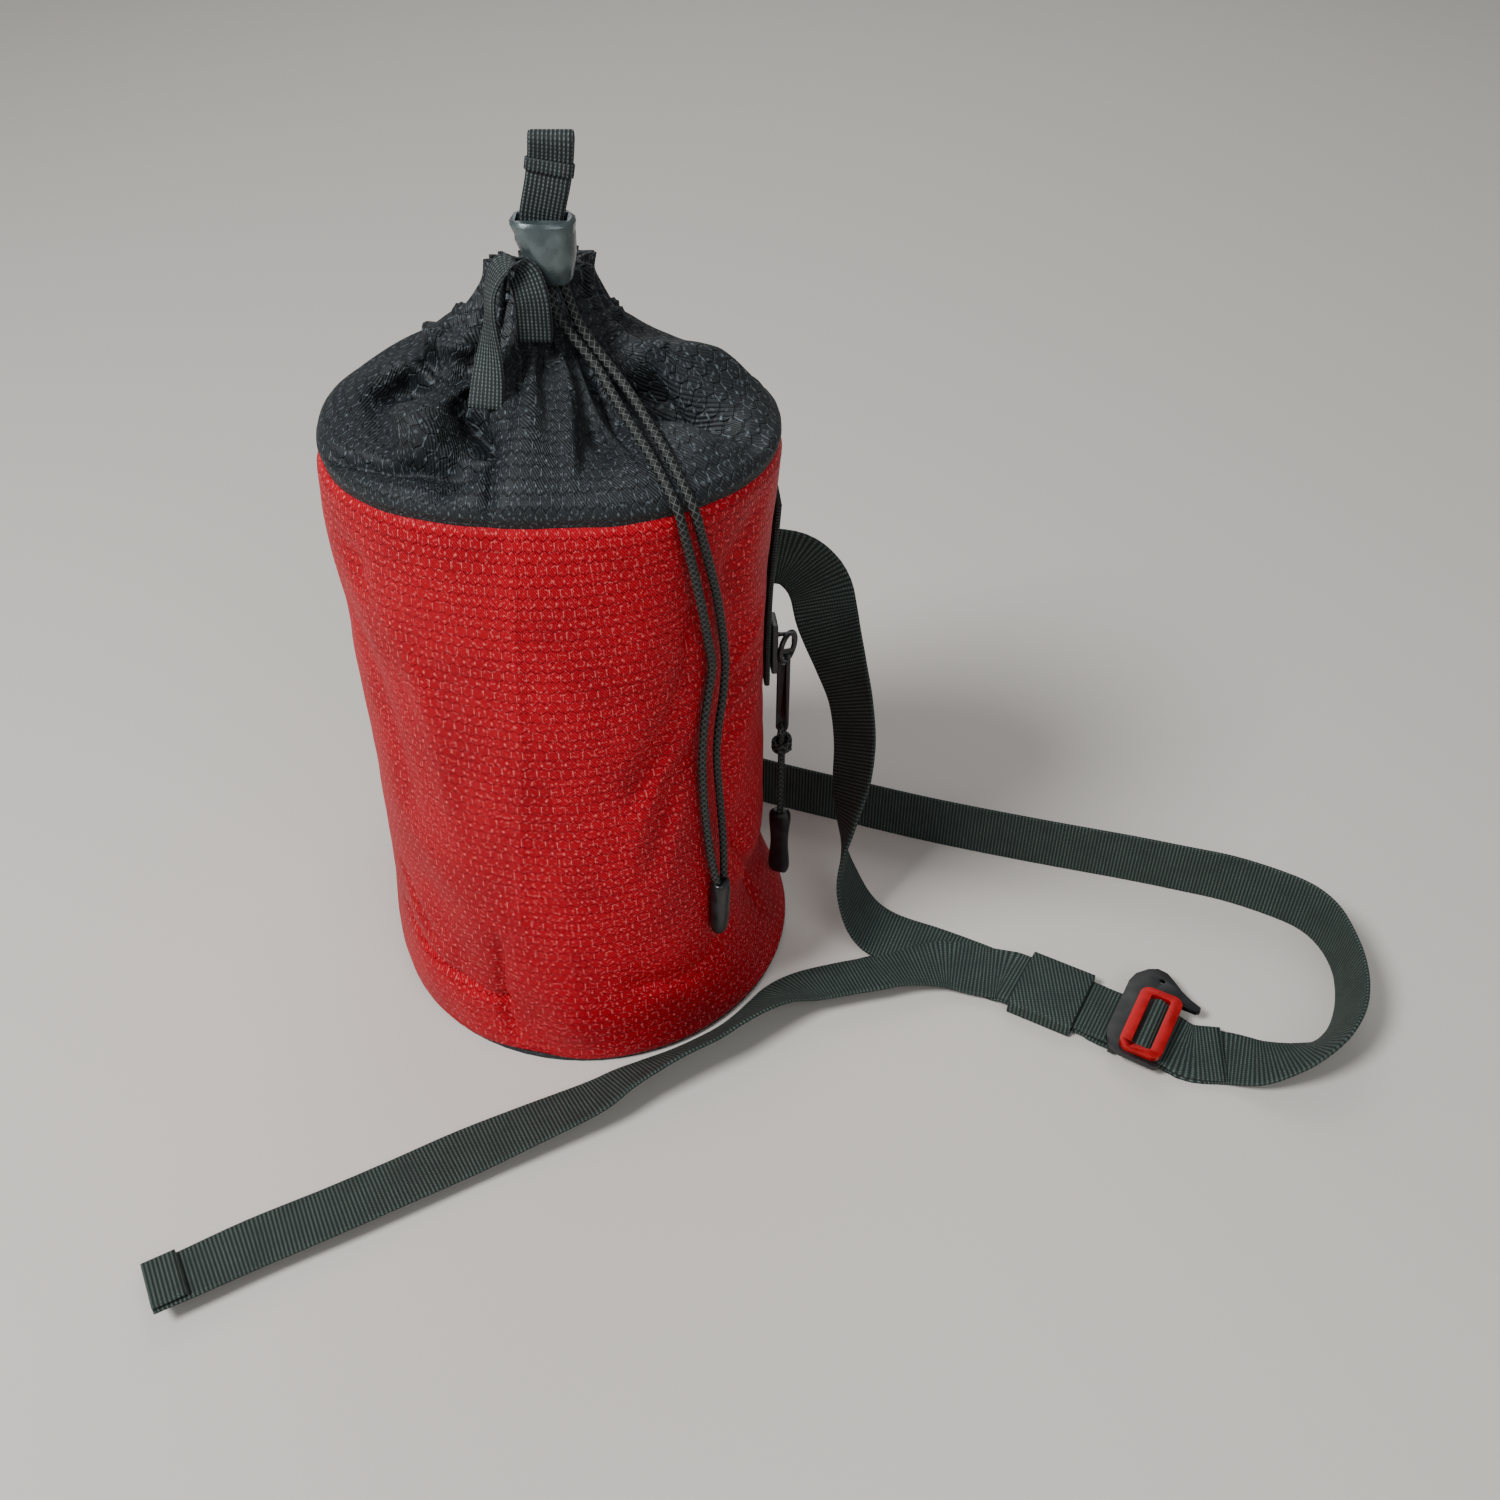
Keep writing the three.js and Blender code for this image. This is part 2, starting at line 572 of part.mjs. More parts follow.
// The two tails of the drawcord, from the foot of the lock down over the cuff to their end
const CORD_LEFT_ROUTE = [
  [6.2, -17.6, 224.6], [6.0, -18.2, 222.0], [6.6, -18.9, 219.0], [8.9, -20.0, 215.4],
  [12.2, -21.8, 211.6], [16.0, -25.2, 207.8], [19.7, -30.2, 203.6], [23.4, -36.2, 200.4],
  [27.4, -42.6, 197.2], [30.9, -48.4, 193.8], [34.2, -53.6, 189.0], [35.6, -53.6, 182.0],
  [36.9, -51.2, 172.8], [38.6, -48.3, 159.4], [39.9, -45.2, 146.0], [40.6, -42.9, 137.0],
  [39.7, -42.2, 128.6], [38.4, -43.1, 119.0], [37.6, -44.0, 108.0], [37.6, -44.4, 96.0],
  [38.2, -44.4, 83.0], [39.3, -44.6, 70.0], [40.7, -44.9, 60.5],
];
const CORD_RIGHT_ROUTE = [
  [8.6, -17.2, 224.6], [9.4, -17.4, 222.0], [10.4, -18.0, 218.6], [12.4, -19.2, 214.6],
  [15.8, -21.4, 210.4], [19.8, -24.8, 206.6], [23.6, -29.4, 203.4], [27.4, -35.6, 200.2],
  [31.2, -41.8, 196.9], [34.6, -47.6, 193.2], [37.8, -52.3, 188.2], [39.1, -51.1, 181.0],
  [40.7, -48.2, 170.7], [42.3, -44.6, 158.1], [43.3, -41.6, 146.0], [43.8, -39.4, 135.0],
  [43.1, -38.8, 124.0], [41.8, -39.6, 114.0], [41.2, -40.2, 104.0], [41.6, -39.6, 92.0],
  [42.2, -39.7, 80.0], [42.6, -40.8, 70.0], [42.6, -42.4, 60.5],
];
const CORD_STEPS = 40;
const CORD_END_PLACE = { x: 41.8, y: -43.7, z: 60.3 };

addPiece('cord_left', tubeGeometry(CORD_LEFT_ROUTE, CORD_DIAMETER / 2, 8, CORD_STEPS), CORD);
addPiece('cord_right', tubeGeometry(CORD_RIGHT_ROUTE, CORD_DIAMETER / 2, 8, CORD_STEPS), CORD);

function cordEndGeometry() {
  const sections = [
    { up: 0.00, wide: 0.70 },
    { up: 0.06, wide: 0.88 },
    { up: 0.50, wide: 1.00 },
    { up: 0.90, wide: 0.98 },
    { up: 1.00, wide: 0.84 },
  ];
  const rings = sections.map((section) => ovalRing((section.wide * CORD_END_WIDTH) / 2,
    (section.wide * CORD_END_WIDTH * 0.4), (section.up - 1) * CORD_END_LENGTH, 0, 12, 0.8));
  return loftGeometry(rings);
}

const cordEnd = addPiece('cord_end', cordEndGeometry(), MOULDED);
cordEnd.position.set(CORD_END_PLACE.x, CORD_END_PLACE.y, CORD_END_PLACE.z - SEAM_GAP);
cordEnd.rotation.set(radians(1), radians(2), radians(54));

// Zip down the right side, with its slider near the lower end and the puller hanging from it
const ZIP_BEARING = 97;
const ZIP_TOP = 0.865;
const ZIP_ROOM = 0.4;

function zipStations(from, to, out, steps) {
  return Array.from({ length: steps + 1 }, (_, index) => {
    const up = from + ((to - from) * index) / steps;
    const bearing = radians(ZIP_BEARING);
    return {
      point: surfaceOffset(bodyPoint, bearing, up, out),
      across: new THREE.Vector3(Math.cos(bearing), Math.sin(bearing), 0),
    };
  });
}

const zipBottom = ZIP_TOP - ZIP_LENGTH / BODY_HEIGHT;
const zipOut = ZIP_THICK / 2 + SEAM_GAP + ZIP_ROOM;
const zipRows = zipStations(zipBottom, ZIP_TOP, zipOut, 7);
addPiece('zip_tape', strapGeometry(zipRows, ZIP_WIDTH, ZIP_THICK), WEBBING);

// Slider: a body on the tape with a bridge over it that the ring hangs in
const EYE_DEEP = LINK_WIDTH + 2 * SEAM_GAP;
const EYE_LONG = 0.28 * SLIDER_LENGTH;
const EYE_WALL = 1.2;

function zipSliderGeometry() {
  const face = SLIDER_THICK / 2;
  const body = boxAt(SLIDER_THICK, SLIDER_WIDTH, SLIDER_LENGTH, 0, 0, 0);
  const reach = EYE_DEEP + EYE_WALL;
  const bridge = boxAt(reach + 0.2, EYE_WALL, EYE_LONG + 2 * EYE_WALL, face + reach / 2 - 0.1, 0, 0);
  const eye = boxAt(EYE_DEEP, 3, EYE_LONG, face + EYE_DEEP / 2, 0, 0);
  return asGeometry(asSolid(body).add(asSolid(bridge).subtract(asSolid(eye))));
}

const sliderUp = zipBottom + (0.73 * SLIDER_LENGTH) / BODY_HEIGHT;
const sliderOut = zipOut + (ZIP_THICK + SLIDER_THICK) / 2 + SEAM_GAP;
const slider = new THREE.Group();
slider.position.copy(surfaceOffset(bodyPoint, radians(ZIP_BEARING), sliderUp, sliderOut));
slider.rotation.set(0, 0, radians(ZIP_BEARING - 90));
pouch.add(slider);
addPiece('zip_slider', zipSliderGeometry(), DARK_METAL, slider);

// Puller: a ring through the bridge, a long link on the ring, and a grip on a doubled cord
const PULLER_TURN = -22;
const LINK_RIM = 0.8;
const LINK_EYE = 1.6;
const puller = new THREE.Group();
puller.position.set(SLIDER_THICK / 2 + EYE_DEEP / 2, 0, EYE_LONG / 2 - RING_WIRE - 0.2);
puller.rotation.set(0, 0, radians(PULLER_TURN));
slider.add(puller);

const ringGeometry = new THREE.TorusGeometry(RING_RADIUS, RING_WIRE, 6, 12);
ringGeometry.rotateY(Math.PI / 2);
ringGeometry.translate(0, 0, -RING_RADIUS);
addPiece('zip_ring', ringGeometry, DARK_METAL, puller);

// Flat link with an eye at each end; its origin is the middle of the upper eye
function zipLinkGeometry() {
  const shape = new THREE.Shape();
  const reach = LINK_LENGTH - 2 * (LINK_EYE + LINK_RIM);
  roundedRectangle(shape, LINK_WIDTH / 2, LINK_LENGTH / 2, LINK_WIDTH / 2 - 0.2);
  for (const side of [-1, 1]) {
    const hole = new THREE.Path();
    hole.absellipse(0, (side * reach) / 2, LINK_WIDTH / 2 - LINK_RIM, LINK_EYE, 0, 2 * Math.PI, true);
    shape.holes.push(hole);
  }
  const geometry = plateGeometry(shape, LINK_THICK, 3).translate(0, -reach / 2, -LINK_THICK / 2);
  return geometry.rotateX(Math.PI / 2);
}

const link = new THREE.Group();
link.position.set(0, 0, -2 * RING_RADIUS - LINK_EYE + RING_WIRE + 0.35);
link.rotation.set(0, radians(0.3), 0);
puller.add(link);
addPiece('zip_link', zipLinkGeometry(), MOULDED, link);

// Doubled cord through the lower eye, and the waisted grip below
const strandAside = (PULLER_CORD + SEAM_GAP) / 2;
const loopAside = LINK_THICK / 2 + 1.8;
const lowerEye = -LINK_LENGTH + 2 * (LINK_EYE + LINK_RIM);
const gripTop = lowerEye - LINK_EYE - GRIP_DROP;
// One strand from the grip up to the middle of the eye; the other is its mirror image
const ZIP_STRAND = [
  [0, strandAside, gripTop + SEAM_GAP], [0, strandAside, gripTop + 12], [0, strandAside, lowerEye - 8],
  [0, 1.4, lowerEye - 3.4], [0, loopAside, lowerEye - 1.6], [0, 0.8, lowerEye - 0.2],
];
const ZIP_CORD_ROUTE = [...ZIP_STRAND.map(([x, y, z]) => [x, -y, z]), ...[...ZIP_STRAND].reverse()];
addPiece('zip_cord', tubeGeometry(ZIP_CORD_ROUTE, PULLER_CORD / 2, 6, 26), CORD, link);

function zipGripGeometry() {
  const sections = [
    { up: 0.00, wide: 0.80 },
    { up: 0.08, wide: 0.98 },
    { up: 0.22, wide: 0.94 },
    { up: 0.50, wide: 0.72 },
    { up: 0.78, wide: 0.94 },
    { up: 0.93, wide: 1.00 },
    { up: 1.00, wide: 0.80 },
  ];
  const rings = sections.map((section) => ovalRing((section.wide * GRIP_WIDTH) / 2,
    section.wide * GRIP_WIDTH * 0.3, (section.up - 1) * GRIP_LENGTH, 0, 12, 0.8));
  return loftGeometry(rings);
}

const grip = addPiece('zip_grip', zipGripGeometry(), MOULDED, link);
grip.position.set(0, 0, gripTop);

// Buckle lying on the floor: its own x runs along the strap away from the pouch
const buckle = new THREE.Group();
buckle.position.set(2.706 * BASE_RADIUS, -0.841 * BASE_RADIUS, 0);
buckle.rotation.set(0, 0, radians(BUCKLE_TURN));
buckle.updateMatrix();
pouch.add(buckle);

// Levels in the buckle from the floor up: under layer, bar, upper layer, plate, frame, pin
const layerPitch = BELT_THICK + SEAM_GAP;
const underLevel = BELT_THICK / 2 + FLOOR_GAP;
const barLevel = underLevel + (BELT_THICK + BAR_THICK) / 2 + SEAM_GAP;
const upperLevel = barLevel + (BELT_THICK + BAR_THICK) / 2 + SEAM_GAP;
const plateLevel = upperLevel + BELT_THICK / 2 + SEAM_GAP;
const frameLevel = plateLevel + PLATE_THICK + SEAM_GAP;
const pinLevel = frameLevel + 0.3 - PIN_RADIUS;
const WINDOW_HALF = BELT_WIDTH / 2 + WINDOW_ROOM;
const BAR_AT = -7;

// Red frame: a rounded rectangle with a window and a pin sunk below it, held by two short posts
function buckleFrameGeometry() {
  const shape = roundedRectangle(new THREE.Shape(), FRAME_LENGTH / 2, FRAME_WIDTH / 2, FRAME_CORNER);
  shape.holes.push(roundedRectangle(new THREE.Path(), FRAME_LENGTH / 2 - FRAME_BAR, WINDOW_HALF, 1));
  const solid = asSolid(plateGeometry(shape, FRAME_THICK, 4).translate(0, 0, frameLevel));
  const length = 2 * WINDOW_HALF + 2.4;
  const pin = new THREE.CylinderGeometry(PIN_RADIUS, PIN_RADIUS, length, 8).translate(0, 0, pinLevel);
  return asGeometry(solid.add(asSolid(pin)));
}

// Black plate: open to the right, with a rounded peak on its far side and a bar sunk below it on two
// posts. Corners are shares of FRAME_LENGTH and of half of FRAME_WIDTH
const PLATE_OUTLINE = [
  { x: -0.862, y: -0.472 }, { x: -0.800, y: -0.756 }, { x: -0.646, y: -0.953 },
  { x: -0.385, y: -1.071 }, { x: 0.415, y: -1.102 }, { x: 0.523, y: -1.039 }, { x: 0.523, y: -0.953 },
  { x: -0.262, y: -0.953 }, { x: -0.262, y: 0.953 }, { x: 0.815, y: 0.953 }, { x: 0.892, y: 1.016 },
  { x: 0.877, y: 1.118 }, { x: 0.615, y: 1.228 }, { x: 0.346, y: 1.386 }, { x: 0.092, y: 1.606 },
  { x: -0.123, y: 1.764 }, { x: -0.354, y: 1.795 }, { x: -0.569, y: 1.669 }, { x: -0.785, y: 1.402 },
  { x: -0.862, y: 1.118 },
];
const PLATE_HOLE = { x: -0.154, y: 1.449 };
const PLATE_HOLE_RADIUS = 1;
const BAR_LENGTH = 2;
const POST_WIDTH = 1.5;

function bucklePlateGeometry() {
  const place = ({ x, y }) => new THREE.Vector2(x * FRAME_LENGTH, (y * FRAME_WIDTH) / 2);
  const shape = new THREE.Shape(PLATE_OUTLINE.map(place));
  const middle = place(PLATE_HOLE);
  const hole = new THREE.Path().absarc(middle.x, middle.y, PLATE_HOLE_RADIUS, 0, 2 * Math.PI, true);
  shape.holes.push(hole);
  let solid = asSolid(plateGeometry(shape, PLATE_THICK, 3).translate(0, 0, plateLevel));
  const bottom = barLevel - BAR_THICK / 2;
  const postHeight = plateLevel + 0.3 - bottom;
  const postLevel = bottom + postHeight / 2;
  const barX = BAR_AT - 0.8;
  const bar = boxAt(BAR_LENGTH, 2 * (WINDOW_HALF + POST_WIDTH), BAR_THICK, barX, 0, barLevel);
  solid = solid.add(asSolid(bar));
  for (const side of [-1, 1]) {
    const aside = side * (WINDOW_HALF + POST_WIDTH / 2);
    solid = solid.add(asSolid(boxAt(BAR_LENGTH, POST_WIDTH, postHeight, barX, aside, postLevel)));
  }
  return asGeometry(solid);
}

// Keeper: a flat sleeve round both layers of the strap
const KEEPER_AT = -31;
const keeperUnder = KEEPER_THICK + SEAM_GAP + BELT_THICK / 2;
const keeperUpper = keeperUnder + layerPitch;

function beltKeeperGeometry() {
  const outer = new THREE.Shape();
  const inner = new THREE.Path();
  const halfWide = WINDOW_HALF + 0.2;
  const halfHigh = BELT_THICK + 1.5 * SEAM_GAP;
  roundedRectangle(outer, halfWide + KEEPER_THICK, halfHigh + KEEPER_THICK, KEEPER_THICK);
  roundedRectangle(inner, halfWide, halfHigh, 0.4);
  outer.holes.push(inner);
  const geometry = plateGeometry(outer, KEEPER_LENGTH, 2).translate(0, 0, -KEEPER_LENGTH / 2);
  geometry.rotateX(Math.PI / 2).rotateZ(Math.PI / 2);
  return geometry.translate(KEEPER_AT, 0, halfHigh + KEEPER_THICK);
}

addPiece('buckle_frame', buckleFrameGeometry(), RED_METAL, buckle);
addPiece('buckle_plate', bucklePlateGeometry(), DARK_METAL, buckle);
addPiece('belt_keeper', beltKeeperGeometry(), WEBBING, buckle);

// Belt: one ribbon from its sewn end round the pin, back behind the pouch and up through the
// carrier, down the right side, through the keeper and round the bar, to its free tail
// Rows give the middle of the strap as shares of BASE_RADIUS, the height of its lowest edge as a
// share of BODY_HEIGHT, and where its width points, in degrees
const BELT_OUT = [
  { x: 3.040, y: -0.962, lift: 0.000, heading: -114, lean: 0 },
  { x: 3.194, y: -1.010, lift: 0.000, heading: -111, lean: 9 },
  { x: 3.306, y: -1.019, lift: 0.000, heading: -110, lean: 20 },
  { x: 3.411, y: -1.006, lift: 0.000, heading: -108, lean: 31 },
  { x: 3.517, y: -0.962, lift: 0.000, heading: -98, lean: 46 },
  { x: 3.616, y: -0.863, lift: 0.000, heading: -72, lean: 62 },
  { x: 3.681, y: -0.737, lift: 0.000, heading: -45, lean: 72 },
  { x: 3.721, y: -0.587, lift: 0.000, heading: -16, lean: 80 },
  { x: 3.733, y: -0.429, lift: 0.000, heading: 0, lean: 86 },
  { x: 3.711, y: -0.276, lift: 0.000, heading: 14, lean: 87 },
  { x: 3.644, y: -0.152, lift: 0.000, heading: 32, lean: 88 },
  { x: 3.516, y: -0.054, lift: 0.000, heading: 52, lean: 88 },
  { x: 3.286, y: 0.060, lift: 0.000, heading: 70, lean: 88 },
  { x: 3.032, y: 0.140, lift: 0.000, heading: 72, lean: 89 },
  { x: 2.778, y: 0.214, lift: 0.000, heading: 72, lean: 89 },
  { x: 2.270, y: 0.349, lift: 0.000, heading: 73, lean: 89 },
  { x: 1.778, y: 0.492, lift: 0.000, heading: 73, lean: 89 },
  { x: 1.333, y: 0.643, lift: 0.000, heading: 70, lean: 89 },
  { x: 1.079, y: 0.730, lift: 0.000, heading: 68, lean: 89 },
  { x: 0.857, y: 0.813, lift: 0.000, heading: 68, lean: 89 },
  { x: 0.635, y: 0.908, lift: 0.000, heading: 64, lean: 89 },
  { x: 0.349, y: 1.032, lift: 0.000, heading: 68, lean: 89 },
  { x: 0.032, y: 1.119, lift: 0.000, heading: 76, lean: 89 },
  { x: -0.254, y: 1.165, lift: 0.008, heading: 80, lean: 86 },
  { x: -0.508, y: 1.181, lift: 0.032, heading: 10, lean: 68 },
  { x: -0.714, y: 1.143, lift: 0.101, heading: -10, lean: 40 },
  { x: -0.841, y: 1.056, lift: 0.202, heading: -20, lean: 10 },
  { x: -0.897, y: 0.952, lift: 0.309, heading: -26, lean: -12 },
  { x: -0.865, y: 0.873, lift: 0.415, heading: -34, lean: -40 },
  { x: -0.754, y: 0.841, lift: 0.484, heading: -40, lean: -66 },
  { x: -0.603, y: 0.822, lift: 0.519, heading: -30, lean: -82 },
];
const BELT_IN = [
  { x: 0.698, y: 0.752, lift: 0.524, heading: 90, lean: -90 },
  { x: 0.873, y: 0.727, lift: 0.524, heading: 180, lean: -88 },
  { x: 1.000, y: 0.724, lift: 0.521, heading: 180, lean: -64 },
  { x: 1.086, y: 0.721, lift: 0.511, heading: 180, lean: -38 },
  { x: 1.140, y: 0.692, lift: 0.500, heading: 178, lean: -16 },
  { x: 1.168, y: 0.644, lift: 0.477, heading: 168, lean: 0 },
  { x: 1.200, y: 0.578, lift: 0.445, heading: 152, lean: 0 },
  { x: 1.244, y: 0.502, lift: 0.405, heading: 140, lean: 0 },
  { x: 1.292, y: 0.406, lift: 0.357, heading: 128, lean: 0 },
  { x: 1.313, y: 0.286, lift: 0.302, heading: 120, lean: 0 },
  { x: 1.297, y: 0.159, lift: 0.248, heading: 112, lean: 0 },
  { x: 1.273, y: 0.048, lift: 0.198, heading: 98, lean: 0 },
  { x: 1.260, y: -0.032, lift: 0.149, heading: 86, lean: 0 },
  { x: 1.278, y: -0.095, lift: 0.103, heading: 77, lean: 0 },
  { x: 1.333, y: -0.143, lift: 0.053, heading: 71, lean: 0 },
  { x: 1.398, y: -0.175, lift: 0.022, heading: 68, lean: 0 },
  { x: 1.470, y: -0.203, lift: 0.007, heading: 66, lean: 0 },
  { x: 1.556, y: -0.237, lift: 0.002, heading: 65, lean: 0 },
  { x: 1.714, y: -0.302, lift: 0.001, heading: 63, lean: 0 },
  { x: 1.873, y: -0.381, lift: 0.001, heading: 62, lean: 0 },
];
const BELT_TAIL = [
  { x: 1.944, y: -0.457, lift: 0.010, heading: 70, lean: 0 },
  { x: 1.783, y: -0.422, lift: 0.009, heading: 80, lean: -4 },
  { x: 1.683, y: -0.427, lift: 0.005, heading: 84, lean: -10 },
  { x: 1.598, y: -0.441, lift: 0.000, heading: 87, lean: -16 },
  { x: 1.500, y: -0.463, lift: 0.000, heading: 86, lean: -19 },
  { x: 1.400, y: -0.495, lift: 0.000, heading: 84, lean: -20 },
  { x: 1.254, y: -0.530, lift: 0.000, heading: 84, lean: -21 },
  { x: 1.095, y: -0.575, lift: 0.000, heading: 86, lean: -23 },
  { x: 0.984, y: -0.629, lift: 0.000, heading: 88, lean: -29 },
  { x: 0.889, y: -0.705, lift: 0.000, heading: 90, lean: -37 },
  { x: 0.803, y: -0.781, lift: 0.000, heading: 94, lean: -43 },
  { x: 0.708, y: -0.860, lift: 0.000, heading: 97, lean: -47 },
  { x: 0.600, y: -0.937, lift: 0.000, heading: 100, lean: -47 },
  { x: 0.457, y: -1.019, lift: 0.000, heading: 102, lean: -47 },
  { x: 0.324, y: -1.089, lift: 0.000, heading: 106, lean: -42 },
  { x: 0.200, y: -1.156, lift: 0.000, heading: 113, lean: -36 },
  { x: 0.063, y: -1.244, lift: 0.000, heading: 113, lean: -28 },
  { x: -0.210, y: -1.378, lift: 0.000, heading: 113, lean: -21 },
  { x: -0.476, y: -1.511, lift: 0.000, heading: 115, lean: -16 },
  { x: -0.746, y: -1.660, lift: 0.000, heading: 119, lean: -17 },
  { x: -1.013, y: -1.803, lift: 0.000, heading: 121, lean: -17 },
  { x: -1.308, y: -1.952, lift: 0.000, heading: 123, lean: -16 },
  { x: -1.540, y: -2.086, lift: 0.000, heading: 124, lean: -18 },
  { x: -1.695, y: -2.176, lift: 0.000, heading: 124, lean: -20 },
];

function beltStation(row) {
  const lean = radians(row.lean);
  const onEdge = (BELT_WIDTH / 2) * Math.abs(Math.sin(lean));
  const onFace = (BELT_THICK / 2) * Math.abs(Math.cos(lean));
  const height = row.lift * BODY_HEIGHT + onEdge + onFace + FLOOR_GAP;
  return {
    point: new THREE.Vector3(row.x * BASE_RADIUS, row.y * BASE_RADIUS, height),
    across: leaningDirection(row.heading, row.lean),
  };
}

function buckleStations(places, side) {
  const across = leaningDirection(BUCKLE_TURN + side * 90, 0);
  return places.map(([x, z]) => {
    const point = new THREE.Vector3(x, 0, z).applyMatrix4(buckle.matrix);
    return { point, across };
  });
}

// Places on a circle in the buckle's own frame, with angles turned from up towards +x
function roundPlaces(x, z, radius, from, to, steps) {
  return Array.from({ length: steps + 1 }, (_, index) => {
    const angle = radians(from + ((to - from) * index) / steps);
    return [x + radius * Math.sin(angle), z + radius * Math.cos(angle)];
  });
}

// Stretch of the belt that lies against the pouch's back inside the carrier
const CARRIER_UP = 0.585;
const CARRIER_FROM = 209;
const CARRIER_SPAN = 60;
const CARRIER_STEPS = 9;
const CARRIER_BEARINGS = Array.from({ length: CARRIER_STEPS + 1 }, (_, index) => (
  CARRIER_FROM - (CARRIER_SPAN * index) / CARRIER_STEPS
));
const BELT_ROOM = 0.7;
const beltOut = BELT_THICK / 2 + SEAM_GAP + BELT_ROOM;

// Point beside the pouch's back, a distance off its wall and a height above the carrier's middle
function besideBack(bearing, out, above) {
  return surfaceOffset(bodyPoint, radians(bearing), CARRIER_UP + above / BODY_HEIGHT, out);
}

function carrierStations() {
  return CARRIER_BEARINGS.map((bearing) => {
    const lower = besideBack(bearing, beltOut, -BELT_WIDTH / 2);
    const upper = besideBack(bearing, beltOut, BELT_WIDTH / 2);
    const point = lower.clone().lerp(upper, 0.5).lerp(besideBack(bearing, beltOut, 0), 0.5);
    return { point, across: lower.sub(upper).normalize() };
  });
}

// Carrier: a cloth panel over the strap whose upper and lower edges turn in to the red wall
function beltCarrierGeometry() {
  const wide = CARRIER_HEIGHT / 2;
  const room = BELT_WIDTH / 2 + CARRIER_ROOM;
  const near = SEAM_GAP;
  const far = beltOut + BELT_THICK / 2 + CARRIER_ROOM;
  const front = far + CARRIER_THICK;
  const section = [
    [near, -wide], [near + CARRIER_THICK, -wide], [front, -room - 1], [front, room + 1],
    [near + CARRIER_THICK, wide], [near, wide],
    [near, room + 0.4], [far, room], [far, -room], [near, -room - 0.4],
  ];
  const bearings = CARRIER_BEARINGS.slice(1, -1);
  const rings = bearings.map((bearing) => section.map(([out, above]) => besideBack(bearing, out, above)));
  const outline = section.map(([out, above]) => new THREE.Vector2(out, above));
  const turned = Math.sign(THREE.ShapeUtils.area(outline));
  const capFaces = THREE.ShapeUtils.triangulateShape(outline, []).map(([a, b, c]) => {
    const same = Math.sign(THREE.ShapeUtils.area([outline[a], outline[b], outline[c]])) === turned;
    return same ? [a, b, c] : [a, c, b];
  });
  return loftGeometry(rings, capFaces);
}

function beltStations() {
  const wrap = PIN_RADIUS + SEAM_GAP + BELT_THICK / 2;
  const turn = (BAR_THICK + BELT_THICK) / 2 + SEAM_GAP;
  const sewn = [
    [13, underLevel + layerPitch + 0.1], [7, pinLevel - 2.5], [3.3, pinLevel - 0.8],
    ...roundPlaces(0, pinLevel, wrap, 50, -180, 6),
    [3.4, pinLevel - 2.9], [7, underLevel + 0.9], [11, underLevel], [14, underLevel],
  ];
  const sewnTip = beltStation({ ...BELT_OUT[0], lift: (layerPitch + 0.1) / BODY_HEIGHT });
  const under = [
    [-47, underLevel + 0.3], [-42, keeperUnder], [-20, keeperUnder],
    [-16, underLevel + 0.6], [-12, underLevel],
    ...roundPlaces(BAR_AT, barLevel, turn, 180, 0, 4),
    [-12, upperLevel], [-16, upperLevel], [-20, keeperUpper], [-42, keeperUpper], [-47, keeperUpper - 0.9],
  ];
  return [
    sewnTip,
    ...buckleStations(sewn, -1),
    ...BELT_OUT.map(beltStation),
    ...carrierStations(),
    ...BELT_IN.map(beltStation),
    ...buckleStations(under, 1),
    ...BELT_TAIL.map(beltStation),
  ];
}

// Raise the stations whose lower edge would dip into the floor
function restOnFloor(stations) {
  stations.forEach((station, index) => {
    const corners = strapCorners(stations, index, BELT_WIDTH, BELT_THICK);
    const lowest = Math.min(...corners.map((corner) => corner.z));
    station.point.z += Math.max(FLOOR_GAP - lowest, 0);
  });
  return stations;
}

addPiece('belt_strap', strapGeometry(restOnFloor(beltStations()), BELT_WIDTH, BELT_THICK), WEBBING);
addPiece('belt_carrier', beltCarrierGeometry(), BLACK_RIPSTOP);

// Hem: the folded end of the tail, a short second layer on top of it
function beltHemGeometry() {
  const stations = BELT_TAIL.slice(-2).map(beltStation);
  const run = stations[0].point.clone().sub(stations[1].point).normalize();
  const up = stations[1].across.clone().cross(run);
  if (up.z < 0) up.negate();
  const raised = stations[1].point.clone().addScaledVector(up, (BELT_THICK + HEM_THICK) / 2 + SEAM_GAP);
  const { across } = stations[1];
  const far = raised.clone().addScaledVector(run, HEM_LENGTH);
  return strapGeometry([{ point: raised, across }, { point: far, across }], BELT_WIDTH, HEM_THICK);
}

addPiece('belt_hem', beltHemGeometry(), WEBBING);

export default pouch;
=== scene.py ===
# %% [markdown]
# # A snack pouch in red ripstop
# This notebook dresses a round drawstring pouch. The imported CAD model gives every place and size, and
# the cells below add what the CAD solids leave out: folded cloth, woven texture, braid and metal.
# The scene is in metres, +Z is up, and the front of the pouch faces -Y. Sizes are written in
# millimetres, as a maker would, and multiplied by MM.

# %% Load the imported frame
import math

import bmesh
import bpy
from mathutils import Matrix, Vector, noise


